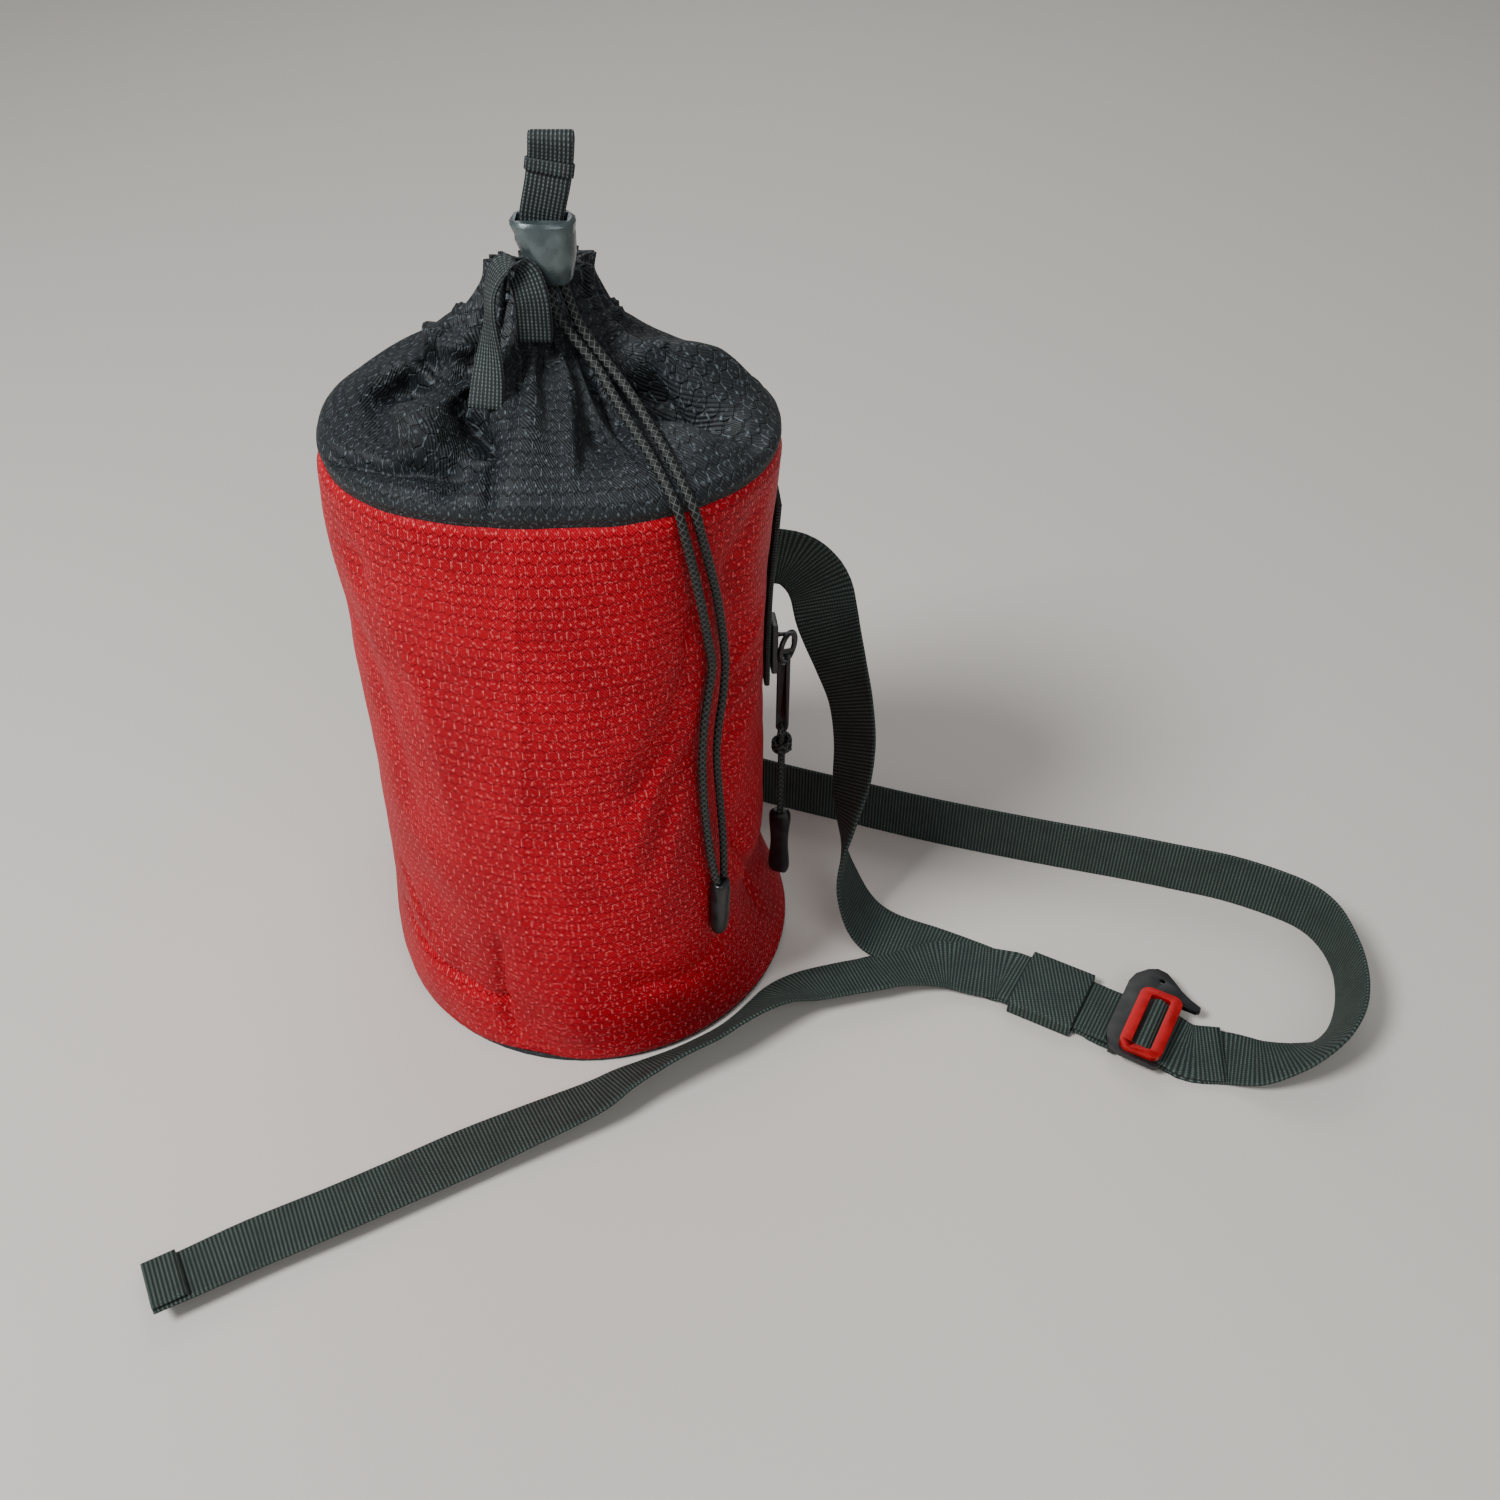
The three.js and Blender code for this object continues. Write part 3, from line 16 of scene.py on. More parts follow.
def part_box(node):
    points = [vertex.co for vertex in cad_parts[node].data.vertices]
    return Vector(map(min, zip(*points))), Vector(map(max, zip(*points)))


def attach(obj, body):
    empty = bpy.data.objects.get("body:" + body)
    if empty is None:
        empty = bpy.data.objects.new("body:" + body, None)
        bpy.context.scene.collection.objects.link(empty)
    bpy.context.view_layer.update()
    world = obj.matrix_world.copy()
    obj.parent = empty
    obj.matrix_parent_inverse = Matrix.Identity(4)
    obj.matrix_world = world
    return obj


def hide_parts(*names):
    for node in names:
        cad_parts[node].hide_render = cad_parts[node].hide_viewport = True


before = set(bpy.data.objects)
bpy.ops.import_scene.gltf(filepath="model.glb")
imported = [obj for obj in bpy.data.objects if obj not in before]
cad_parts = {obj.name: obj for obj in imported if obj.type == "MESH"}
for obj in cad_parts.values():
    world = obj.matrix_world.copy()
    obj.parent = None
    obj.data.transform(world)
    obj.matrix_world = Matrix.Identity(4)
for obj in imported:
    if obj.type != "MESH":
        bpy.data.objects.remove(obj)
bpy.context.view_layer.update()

MM = 0.001
ROOT = "root"

# %% [markdown]
# ## Camera
# The photograph looks down at the pouch by 42 degrees from just in front of it. A camera can be aimed
# by a constraint, but here its place and tilt were fitted to the base and the upright sides, so they
# are typed in. A 36 mm lens on a 36 mm frame gives the same spread of the belt over the floor.

# %% Camera
CAMERA_AT = (0.050, -0.333, 0.370)
CAMERA_TILT = math.radians(48)
LENS, FRAME_WIDE = 36, 36
camera_data = bpy.data.cameras.new("camera")
camera_data.lens = LENS
camera_data.sensor_width = FRAME_WIDE
camera_data.clip_start = 10 * MM
camera = bpy.data.objects.new("camera", camera_data)
camera.location = CAMERA_AT
camera.rotation_euler = (CAMERA_TILT, 0, 0)
bpy.context.scene.collection.objects.link(camera)
bpy.context.scene.camera = camera
print("camera at", CAMERA_AT)

# %% [markdown]
# ## Selecting and finishing
# An operator acts on all that is selected, so nothing may stay selected by chance. Every piece gets
# its material first, and is then finished in the same way: shaded smooth, tied to the pouch's one body
# and, where it dresses a CAD solid, that solid is hidden.


# %% Selecting and finishing
def deselect():
    if bpy.context.object and bpy.context.object.mode != "OBJECT":
        bpy.ops.object.mode_set(mode="OBJECT")
    bpy.ops.object.select_all(action="DESELECT")


def make_active(piece):
    deselect()
    piece.select_set(True)
    bpy.context.view_layer.objects.active = piece


def finish_piece(piece, replaced=()):
    for face in piece.data.polygons:
        face.use_smooth = True
    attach(piece, ROOT)
    if replaced:
        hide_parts(*replaced)
    print(piece.name, len(piece.data.polygons), "faces")


# %% [markdown]
# ## Routes and sweeps
# Cords and straps have a route and a section. A curve object with a bevel would draw them too, but it
# turns as it likes and gives no weave to follow. Here the section is carried along the route point by
# point, so that the UV runs along the piece in u and round it in v, in millimetres.

# %% Smooth routes
UV_NAME = "UVMap"


def smooth_between(a, b, c, d, t):
    """The share t of a smooth step from b to c, with a before it and d after it."""
    square = (2 * a - 5 * b + 4 * c - d) * t * t
    cube = (3 * b - a - 3 * c + d) * t ** 3
    return 0.5 * ((2 * b) + (c - a) * t + square + cube)


def smooth_route(points, spacing):
    """Points along a smooth line through the given ones, about a spacing apart."""
    points = [Vector(p) for p in points]
    ends = [points[0] * 2 - points[1], *points, points[-1] * 2 - points[-2]]
    line = [points[0]]
    for i in range(len(points) - 1):
        steps = max(1, round((points[i + 1] - points[i]).length / spacing))
        line += [smooth_between(*ends[i:i + 4], (k + 1) / steps) for k in range(steps)]
    return line


def length_of(line):
    return sum((b - a).length for a, b in zip(line, line[1:]))


def tangent_at(line, i):
    return (line[min(i + 1, len(line) - 1)] - line[max(i - 1, 0)]).normalized()


def carried_across(line, start):
    """Width directions that are carried along a line without twisting."""
    across, current = [], Vector(start)
    for i in range(len(line)):
        tangent = tangent_at(line, i)
        current = (current - current.dot(tangent) * tangent).normalized()
        across.append(current)
    return across


# %% Pieces from points
def piece_from(name, points, faces, uvs):
    """A new piece from its points and faces, with one UV place for each corner of each face."""
    mesh = bpy.data.meshes.new(name)
    mesh.from_pydata([tuple(p) for p in points], [], faces)
    mesh.update()
    piece = bpy.data.objects.new(name, mesh)
    bpy.context.scene.collection.objects.link(piece)
    layer = mesh.uv_layers.new(name=UV_NAME)
    for loop, uv in zip(layer.data, uvs):
        loop.uv = uv
    return piece


def round_section(radius, sides):
    turns = [2 * math.pi * k / sides for k in range(sides)]
    return [(radius * math.cos(a), radius * math.sin(a)) for a in turns]


def sweep(name, line, across, section):
    """Tube or ribbon along a line. across gives the width direction at each point, and section is a
    closed list of (width, thickness) places."""
    points, along = [], [0.0]
    for i, centre in enumerate(line):
        tangent = tangent_at(line, i)
        wide = (across[i] - across[i].dot(tangent) * tangent).normalized()
        thick = tangent.cross(wide)
        points += [centre + wide * w + thick * t for w, t in section]
        if i:
            along.append(along[-1] + (centre - line[i - 1]).length)
    sides = len(section)
    around = [0.0]
    for k in range(sides):
        around.append(around[-1] + math.dist(section[k], section[(k + 1) % sides]))
    faces, uvs = [], []
    for i in range(len(line) - 1):
        u0, u1 = along[i] / MM, along[i + 1] / MM
        low, high = i * sides, (i + 1) * sides
        for k in range(sides):
            n = (k + 1) % sides
            v0, v1 = around[k] / MM, around[k + 1] / MM
            faces.append((low + k, low + n, high + n, high + k))
            uvs += [(u0, v0), (u0, v1), (u1, v1), (u1, v0)]
    last = (len(line) - 1) * sides
    faces += [tuple(reversed(range(sides))), tuple(range(last, last + sides))]
    uvs += [(0, 0)] * (2 * sides)
    return piece_from(name, points, faces, uvs)


# %% [markdown]
# ## Helpers for materials
# A material is a small graph of nodes. It can be drawn by hand in the shader editor, but a written
# graph can be read and changed. One function adds a node, sets its options and makes its links, so
# that each graph below reads as a list of steps. Colours are written as sRGB hex values, as a paint
# program shows them, and turned to linear values once.

# %% Node options and sockets
ADD, TIMES, SINE = ({"operation": name} for name in ("ADD", "MULTIPLY", "SINE"))
LESS, MOST, REMAINDER = ({"operation": name} for name in ("SUBTRACT", "MAXIMUM", "MODULO"))
TIMES_ADD, DOT = ({"operation": name} for name in ("MULTIPLY_ADD", "DOT_PRODUCT"))
CLOSER, LENGTH, ABSOLUTE = ({"operation": name} for name in ("LESS_THAN", "LENGTH", "ABSOLUTE"))
BLEND = {"data_type": "RGBA"}
SOFT = {"interpolation_type": "SMOOTHSTEP"}
# The inputs of Map Range: where it starts and ends, and what it gives there.
START, END, LOW, HIGH = "From Min", "From Max", "To Min", "To Max"
# The inputs and the output of Mix, which has a set of its own for numbers, vectors and colours.
SHARE, FIRST, SECOND, BLENDED = 0, 6, 7, 2


# %% Helpers for materials
def linear(hex_colour):
    channels = [int(hex_colour[i:i + 2], 16) / 255 for i in (1, 3, 5)]
    return [c / 12.92 if c <= 0.04045 else ((c + 0.055) / 1.055) ** 2.4 for c in channels] + [1.0]


def add_node(tree, kind, options, inputs, output=0):
    """Adds a node with its options and inputs, and returns the output that the next step reads."""
    node = tree.nodes.new("ShaderNode" + kind)
    for option, value in options.items():
        setattr(node, option, value)
    for socket, value in inputs.items():
        if isinstance(value, bpy.types.NodeSocket):
            tree.links.new(value, node.inputs[socket])
        else:
            node.inputs[socket].default_value = value
    return node.outputs[output]


def new_material(name, roughness, specular):
    material = bpy.data.materials.new(name)
    material.use_nodes = True
    shader = material.node_tree.nodes["Principled BSDF"]
    shader.inputs["Roughness"].default_value = roughness
    shader.inputs["Specular IOR Level"].default_value = specular
    return material, material.node_tree, shader


# %% [markdown]
# ## Ripstop cloth
# The pouch is sewn from nylon ripstop: cells 3.4 mm wide and 6.2 mm from every second row to the
# next, fenced by thicker threads over a fine diagonal twill. Dull thread fills the cells, and the
# thicker ones catch the light as short upright ticks in one row and as dots in the next. A picture of
# the cloth would do, but a pattern worked out from the UV, in millimetres, stays sharp and has no
# seam. The fence is the distance to the nearest of two staggered grids of cell middles.

# %% Ripstop cells
CELL_WIDE = 3.4
CELL_HIGH = 6.2
# The real twill is hardly a pixel wide, so it is drawn twice as coarse.
TWILL_PITCH = 0.9
TWILL_WAY = (1.0, 0.8, 0)
# Two rows of regular cells are 1.732 times as high as a cell is wide. This squeezes the real ones.
SQUASH = 1.732 * CELL_WIDE / CELL_HIGH
SLOPE = (0.5, 0.866, 0)
# The remainder of a negative number is negative, so the pattern starts 100 cells away.
FAR_CORNER = (100 * CELL_WIDE, 100 * CELL_HIGH, 0)
# Where each thread starts to show and where it is full, as shares of a cell's width or of a wave.
TICK_EDGE = {START: 0.42, END: 0.47}
DOT_EDGE = {START: 0.33, END: 0.42}
DOT_POINTED = -0.7
FENCE_EDGE = {START: 0.42, END: 0.48}
TWILL_EDGE = {START: -0.9, END: 0.9}


def honeycomb(tree, place):
    """Share of a cell's width to its upright side and to its sloping side, 0.5 at the side, the
    height in the cell as the same share, and 1 in every second row of cells."""
    size = (CELL_WIDE, CELL_HIGH, 1)
    half = (CELL_WIDE / 2, CELL_HIGH / 2, 0)
    to_share = (1 / CELL_WIDE, SQUASH / CELL_WIDE, 0)
    grids, reaches = [], []
    for shift in ((0, 0, 0), half):
        moved = add_node(tree, "VectorMath", ADD, {0: place, 1: shift})
        inside = add_node(tree, "VectorMath", REMAINDER, {0: moved, 1: size})
        centred = add_node(tree, "VectorMath", LESS, {0: inside, 1: half})
        grids.append(add_node(tree, "VectorMath", TIMES, {0: centred, 1: to_share}))
        reaches.append(add_node(tree, "VectorMath", LENGTH, {0: grids[-1]}, "Value"))
    odd = add_node(tree, "Math", CLOSER, {0: reaches[1], 1: reaches[0]})
    nearest = add_node(tree, "Mix", {"data_type": "VECTOR"}, {0: odd, 4: grids[0], 5: grids[1]}, 1)
    folded = add_node(tree, "VectorMath", ABSOLUTE, {0: nearest})
    across = add_node(tree, "SeparateXYZ", {}, {0: folded}, "X")
    up = add_node(tree, "SeparateXYZ", {}, {0: folded}, "Y")
    sloping = add_node(tree, "VectorMath", DOT, {0: folded, 1: SLOPE}, "Value")
    return across, sloping, up, odd


def ripstop_threads(tree, flat):
    """How far each place is on a lit thread, on the fence between the cells, and on a twill ridge."""
    place = add_node(tree, "VectorMath", ADD, {0: flat, 1: FAR_CORNER})
    across, sloping, up, odd = honeycomb(tree, place)
    tick = add_node(tree, "MapRange", SOFT, {0: across, **TICK_EDGE})
    pointed = add_node(tree, "Math", TIMES_ADD, {0: up, 1: DOT_POINTED, 2: across})
    dot = add_node(tree, "MapRange", SOFT, {0: pointed, **DOT_EDGE})
    light = add_node(tree, "Mix", {}, {0: odd, 2: tick, 3: dot})
    fence = add_node(tree, "MapRange", SOFT, {0: sloping, **FENCE_EDGE})
    diagonal = add_node(tree, "VectorMath", DOT, {0: flat, 1: TWILL_WAY}, "Value")
    turn = add_node(tree, "Math", TIMES, {0: diagonal, 1: 2 * math.pi / TWILL_PITCH})
    twill = add_node(tree, "Math", SINE, {0: turn})
    weave = add_node(tree, "MapRange", SOFT, {0: twill, **TWILL_EDGE})
    return light, fence, weave


# %% [markdown]
# The colour starts from the body of the cloth and is darkened between the twill ridges and along the
# fence. The lit threads come over that as a painted highlight, stronger in some patches of the cloth
# than in others as painted sheen. The same masks give the relief, so light and colour agree.

# %% Ripstop material
# Noise is set by how many of its lumps there are in a millimetre of cloth.
PATCHES_PER_MM = 0.04
SPECKS_PER_MM = 1.1
WEAVE_DARK, FENCE_DARK, FLECK_LIGHT, LEAST_LIT = 0.55, 0.5, 0.5, 0.35
WEAVE_RELIEF = 0.4
# Which noise counts as painted sheen, as bright thread, as a painted glint and as a dark patch.
SHEEN_PATCH = {START: 0.3, END: 0.65}
BRIGHT_SPECK = {START: 0.3, END: 0.62, LOW: 0.3, HIGH: 1.0}
FLECK = {START: 0.58, END: 0.7}
DARK_PATCH = {START: 0.35, END: 0.7, HIGH: 0.25}


def ripstop(name, body, thread, shade, tick_show, roughness, specular, relief):
    material, tree, shader = new_material(name, roughness, specular)
    flat = add_node(tree, "UVMap", {"uv_map": UV_NAME}, {})
    light, fence, weave = ripstop_threads(tree, flat)
    patches = add_node(
        tree, "TexNoise", {}, {"Vector": flat, "Scale": PATCHES_PER_MM, "Detail": 3.0},
    )
    speck = add_node(tree, "TexNoise", {}, {"Vector": flat, "Scale": SPECKS_PER_MM, "Detail": 1.0})
    # Painted sheen: the lit ticks show more in some patches of the cloth than in others.
    lit = {0: patches, **SHEEN_PATCH, LOW: LEAST_LIT * tick_show, HIGH: tick_show}
    shown = add_node(tree, "MapRange", SOFT, lit)
    bright = add_node(tree, "MapRange", SOFT, {0: speck, **BRIGHT_SPECK})
    gleam = add_node(tree, "Math", TIMES, {0: light, 1: shown})
    gleam = add_node(tree, "Math", TIMES, {0: gleam, 1: bright})
    weave_dark = add_node(tree, "Math", TIMES, {0: weave, 1: WEAVE_DARK})
    fence_dark = add_node(tree, "Math", TIMES, {0: fence, 1: FENCE_DARK})
    # Painted glints: specks in the lit thread colour, scaled by how much the ticks show.
    fleck = add_node(tree, "MapRange", SOFT, {0: speck, **FLECK, HIGH: FLECK_LIGHT * tick_show})
    patch_dark = add_node(tree, "MapRange", SOFT, {0: patches, **DARK_PATCH})
    layers = [(weave_dark, shade), (fence_dark, shade), (gleam, thread), (fleck, thread)]
    colour = linear(body)
    for share, tone in (*layers, (patch_dark, shade)):
        blend = {SHARE: share, FIRST: colour, SECOND: linear(tone)}
        colour = add_node(tree, "Mix", BLEND, blend, BLENDED)
    tree.links.new(colour, shader.inputs["Base Color"])
    raised = add_node(tree, "Math", LESS, {0: light, 1: fence})
    height = add_node(tree, "Math", TIMES_ADD, {0: weave, 1: WEAVE_RELIEF, 2: raised})
    bump = add_node(tree, "Bump", {}, {"Distance": relief * MM, "Height": height})
    tree.links.new(bump, shader.inputs["Normal"])
    return material


# Dyed nylon with a thin coating: a deep, slightly dusty red whose raised threads shine pink.
RED_CLOTH = ripstop(
    "ripstop nylon, red", body="#C0001E", thread="#FF7676", shade="#5A000A",
    tick_show=0.9, roughness=0.5, specular=0.12, relief=0.16,
)
# The same cloth in black, with a stronger sheen: its folds shine grey, and its threads less.
BLACK_CLOTH = ripstop(
    "ripstop nylon, black", body="#1D2327", thread="#8F9CA4", shade="#030405",
    tick_show=0.42, roughness=0.58, specular=0.35, relief=0.3,
)
print("ripstop materials made, cells", CELL_WIDE, "by", CELL_HIGH, "mm")

# %% [markdown]
# ## Webbing
# The belt is polyester webbing with ribs across it, 1.1 mm apart, and the tab and the carry loop are
# a narrow webbing with wales along it. Woven straps are two sets of threads at right angles, so two
# waves do, one along the strap and one across it: the coarse one gives the ridges, and the fine one
# cuts them into single threads.

# %% Webbing material
RIB_PITCH = 1.1
WALE_PITCH = 0.9
COIL_PITCH = 1.0
THREAD_PITCH = 0.8
DIM_PATCHES_PER_MM = 0.12
MOTTLES_PER_MM = 2.2
WEB_RELIEF, RIDGE_RELIEF = 0.12, 0.5
# Where a ridge and a thread rise from their waves, and how noise mottles and dims their painted
# highlight.
RIDGE_EDGE = {START: -0.6, END: 0.9}
THREAD_EDGE = {START: -0.8, END: 0.9, LOW: 0.35, HIGH: 1.0}
HIGHLIGHT_MOTTLE = {START: 0.3, END: 0.7, LOW: 0.4, HIGH: 1.0}
HIGHLIGHT_DIMMING = {START: 0.35, END: 0.75, HIGH: 0.35}


def webbing(name, base, light, ridge_way, ridge_pitch):
    """Ridges over the strap or along it, each a row of threads with a painted highlight on its crown,
    mottled by fine noise and dimmed in broad patches. In the UV, X runs along the strap and Y across
    it."""
    material, tree, shader = new_material(name, roughness=0.7, specular=0.3)
    flat = add_node(tree, "UVMap", {"uv_map": UV_NAME}, {})
    waves = []
    for axis in ("X", "Y"):
        pitch = ridge_pitch if axis == ridge_way else THREAD_PITCH
        way = add_node(tree, "SeparateXYZ", {}, {0: flat}, axis)
        turn = add_node(tree, "Math", TIMES, {0: way, 1: 2 * math.pi / pitch})
        waves.append(add_node(tree, "Math", SINE, {0: turn}))
    ridge, other = waves if ridge_way == "X" else reversed(waves)
    high = add_node(tree, "MapRange", SOFT, {0: ridge, **RIDGE_EDGE})
    cut = add_node(tree, "MapRange", SOFT, {0: other, **THREAD_EDGE})
    thread = add_node(tree, "Math", TIMES, {0: high, 1: cut})
    dim_noise = add_node(tree, "TexNoise", {}, {"Vector": flat, "Scale": DIM_PATCHES_PER_MM, "Detail": 4.0})
    speck = add_node(tree, "TexNoise", {}, {"Vector": flat, "Scale": MOTTLES_PER_MM})
    mottle = add_node(tree, "MapRange", SOFT, {0: speck, **HIGHLIGHT_MOTTLE})
    lit = add_node(tree, "Math", TIMES, {0: thread, 1: mottle})
    dimmed = add_node(tree, "MapRange", SOFT, {0: dim_noise, **HIGHLIGHT_DIMMING})
    colour = linear(base)
    # Painted highlight: the light colour goes on the crown of each thread, then is dimmed back towards
    # the base colour in broad patches.
    for share, tone in ((lit, light), (dimmed, base)):
        blend = {SHARE: share, FIRST: colour, SECOND: linear(tone)}
        colour = add_node(tree, "Mix", BLEND, blend, BLENDED)
    tree.links.new(colour, shader.inputs["Base Color"])
    height = add_node(tree, "Math", TIMES_ADD, {0: high, 1: RIDGE_RELIEF, 2: thread})
    bump = add_node(tree, "Bump", {}, {"Distance": WEB_RELIEF * MM, "Height": height})
    tree.links.new(bump, shader.inputs["Normal"])
    return material


# Dyed polyester: matt and nearly black, with a green-grey light on the crown of each rib.
BELT_WEB = webbing("polyester webbing, dark green-black", "#1A2321", "#5F716A", "X", RIB_PITCH)
# A finer strap, a little darker, whose wales catch the light as rows of dots.
TAB_WEB = webbing("polyester webbing, black", "#12171A", "#66726F", "Y", WALE_PITCH)
# Zip tape under its plastic coil: the turns of the coil show as close dark ribs.
ZIP_WEB = webbing("polyester zip tape with its coil, black", "#080A0A", "#4F5B56", "X", COIL_PITCH)
print("webbing materials made, ribs", RIB_PITCH, "mm and wales", WALE_PITCH, "mm apart")

# %% [markdown]
# ## Braided cord
# The drawcord is a round braid: two sets of strands wind round it in opposite ways and cross. Real
# strands could be modelled, but each would be only a pixel or two wide, so two diagonal waves in the
# UV draw them, a strand every 1.9 mm.

# %% Braid material
BRAID_PITCH = 1.9
BRAID_RELIEF = 0.25
STRAND_EDGE = {START: 0.45, END: 1.0}


def braid(name, base, light):
    material, tree, shader = new_material(name, roughness=0.6, specular=0.35)
    flat = add_node(tree, "UVMap", {"uv_map": UV_NAME}, {})
    strands = []
    for side in (1, -1):
        way = (2 * math.pi / BRAID_PITCH, side * 2 * math.pi / BRAID_PITCH, 0)
        turn = add_node(tree, "VectorMath", DOT, {0: flat, 1: way}, "Value")
        strands.append(add_node(tree, "Math", SINE, {0: turn}))
    top = add_node(tree, "Math", MOST, {0: strands[0], 1: strands[1]})
    high = add_node(tree, "MapRange", SOFT, {0: top, **STRAND_EDGE})
    blend = {SHARE: high, FIRST: linear(base), SECOND: linear(light)}
    colour = add_node(tree, "Mix", BLEND, blend, BLENDED)
    tree.links.new(colour, shader.inputs["Base Color"])
    bump = add_node(tree, "Bump", {}, {"Distance": BRAID_RELIEF * MM, "Height": high})
    tree.links.new(bump, shader.inputs["Normal"])
    return material


# Black polyester yarn: dull, with a faint grey light where a strand comes to the top.
CORD_BRAID = braid("braided polyester cord, black", "#050606", "#464C49")
print("braid made, a strand every", BRAID_PITCH, "mm")

# %% [markdown]
# ## Moulded plastic and coated metal
# The small parts are moulded nylon, and the buckle is a die-cast frame, anodised red, over a black
# plate. Nothing that is handled has one even gloss, so a cloudy noise, with lumps about 5 mm wide,
# rubs the colour and the gloss, and fine pores a fraction of a millimetre wide break the highlights.

# %% Plastic and metal materials
CLOUD_WIDE = 5
PORE_RELIEF = 0.03
LESS_ROUGH, MORE_ROUGH = 0.06, 0.1
COLOUR_CLOUD = {START: 0.35, END: 0.75, HIGH: 0.5}
GLOSS_CLOUD = {START: 0.3, END: 0.7}


def hard_finish(name, base, light, metallic, roughness, specular, pore_size):
    material, tree, shader = new_material(name, roughness, specular)
    place = add_node(tree, "TexCoord", {}, {}, "Object")
    clouds = {"Vector": place, "Scale": 1 / (CLOUD_WIDE * MM), "Detail": 4.0}
    cloud = add_node(tree, "TexNoise", {}, clouds)
    pores = add_node(tree, "TexNoise", {}, {"Vector": place, "Scale": 1 / (pore_size * MM)})
    mottle = add_node(tree, "MapRange", SOFT, {0: cloud, **COLOUR_CLOUD})
    ends = {LOW: roughness - LESS_ROUGH, HIGH: roughness + MORE_ROUGH}
    gloss = add_node(tree, "MapRange", SOFT, {0: cloud, **GLOSS_CLOUD, **ends})
    blend = {SHARE: mottle, FIRST: linear(base), SECOND: linear(light)}
    colour = add_node(tree, "Mix", BLEND, blend, BLENDED)
    tree.links.new(colour, shader.inputs["Base Color"])
    tree.links.new(gloss, shader.inputs["Roughness"])
    shader.inputs["Metallic"].default_value = metallic
    bump = add_node(tree, "Bump", {}, {"Distance": PORE_RELIEF * MM, "Height": pores})
    tree.links.new(bump, shader.inputs["Normal"])
    return material


# Nylon from a fine mould: satin black with soft edges to its highlights.
BLACK_MOULDING = hard_finish(
    "moulded nylon, black", "#0C0E10", "#2C3033",
    metallic=0.0, roughness=0.34, specular=0.5, pore_size=0.4,
)
# Polished black acetal, painted a dark grey with a silvery cloud: painted highlight and painted
# reflection.
LOCK_MOULDING = hard_finish(
    "polished acetal with a pearly gloss, dark grey", "#475254", "#7C8888",
    metallic=0.45, roughness=0.26, specular=0.6, pore_size=0.5,
)
# Anodised aluminium: a clear red layer over metal, half way between paint and bare metal.
RED_ANODISED = hard_finish(
    "anodised aluminium, red", "#A8060F", "#D81C22",
    metallic=0.5, roughness=0.32, specular=0.5, pore_size=0.35,
)
# Powder coat on zinc: an even satin black that hides the metal.
BLACK_METAL = hard_finish(
    "powder-coated zinc, black", "#0F1011", "#222426",
    metallic=0.0, roughness=0.36, specular=0.5, pore_size=0.3,
)
print("moulding and metal materials made")

# %% [markdown]
# ## Drawcord
# One braided cord runs round the mouth. Its two tails come out at the foot of the cord lock, lie down
# over the gathered cuff and hang beside each other in a hollow of the red wall, into one moulded end.
# A simulated cord would find its own way, and not the one in the photograph, so each tail is a smooth
# line through the points of its CAD solid, which rest on the cloth all the way down.

# %% Drawcord routes
CORD_DIAMETER = 2.2
CORD_SPACING = 1.5
CORD_LEFT_ROUTE = [
    (6.2, -17.6, 224.6), (6.0, -18.2, 222.0), (6.6, -18.9, 219.0), (8.9, -20.0, 215.4),
    (12.2, -21.8, 211.6), (16.0, -25.2, 207.8), (19.7, -30.2, 203.6), (23.4, -36.2, 200.4),
    (27.4, -42.6, 197.2), (30.9, -48.4, 193.8), (34.2, -53.6, 189.0), (35.6, -53.6, 182.0),
    (36.9, -51.2, 172.8), (38.6, -48.3, 159.4), (39.9, -45.2, 146.0), (40.6, -42.9, 137.0),
    (39.7, -42.2, 128.6), (38.4, -43.1, 119.0), (37.6, -44.0, 108.0), (37.6, -44.4, 96.0),
    (38.2, -44.4, 83.0), (39.3, -44.6, 70.0), (40.7, -44.9, 60.5),
]
CORD_RIGHT_ROUTE = [
    (8.6, -17.2, 224.6), (9.4, -17.4, 222.0), (10.4, -18.0, 218.6), (12.4, -19.2, 214.6),
    (15.8, -21.4, 210.4), (19.8, -24.8, 206.6), (23.6, -29.4, 203.4), (27.4, -35.6, 200.2),
    (31.2, -41.8, 196.9), (34.6, -47.6, 193.2), (37.8, -52.3, 188.2), (39.1, -51.1, 181.0),
    (40.7, -48.2, 170.7), (42.3, -44.6, 158.1), (43.3, -41.6, 146.0), (43.8, -39.4, 135.0),
    (43.1, -38.8, 124.0), (41.8, -39.6, 114.0), (41.2, -40.2, 104.0), (41.6, -39.6, 92.0),
    (42.2, -39.7, 80.0), (42.6, -40.8, 70.0), (42.6, -42.4, 60.5),
]
print("drawcord routes of", len(CORD_LEFT_ROUTE), "and", len(CORD_RIGHT_ROUTE), "points")

# %% Drawcord tails
CORD_SIDES = 12
CORD_ACROSS = (1, 0.3, 0.2)


def make_cord(name, route, diameter, spacing, replaced):
    line = smooth_route([Vector(p) * MM for p in route], spacing * MM)
    across = carried_across(line, CORD_ACROSS)
    piece = sweep(name, line, across, round_section(diameter * MM / 2, CORD_SIDES))
    piece.data.materials.append(CORD_BRAID)
    finish_piece(piece, [replaced])
    print(name, "length in mm:", round(length_of(line) / MM))
    return piece, line


tail_left, line_left = make_cord(
    "cord_tail_left", CORD_LEFT_ROUTE, CORD_DIAMETER, CORD_SPACING, "cord_left",
)
tail_right, line_right = make_cord(
    "cord_tail_right", CORD_RIGHT_ROUTE, CORD_DIAMETER, CORD_SPACING, "cord_right",
)

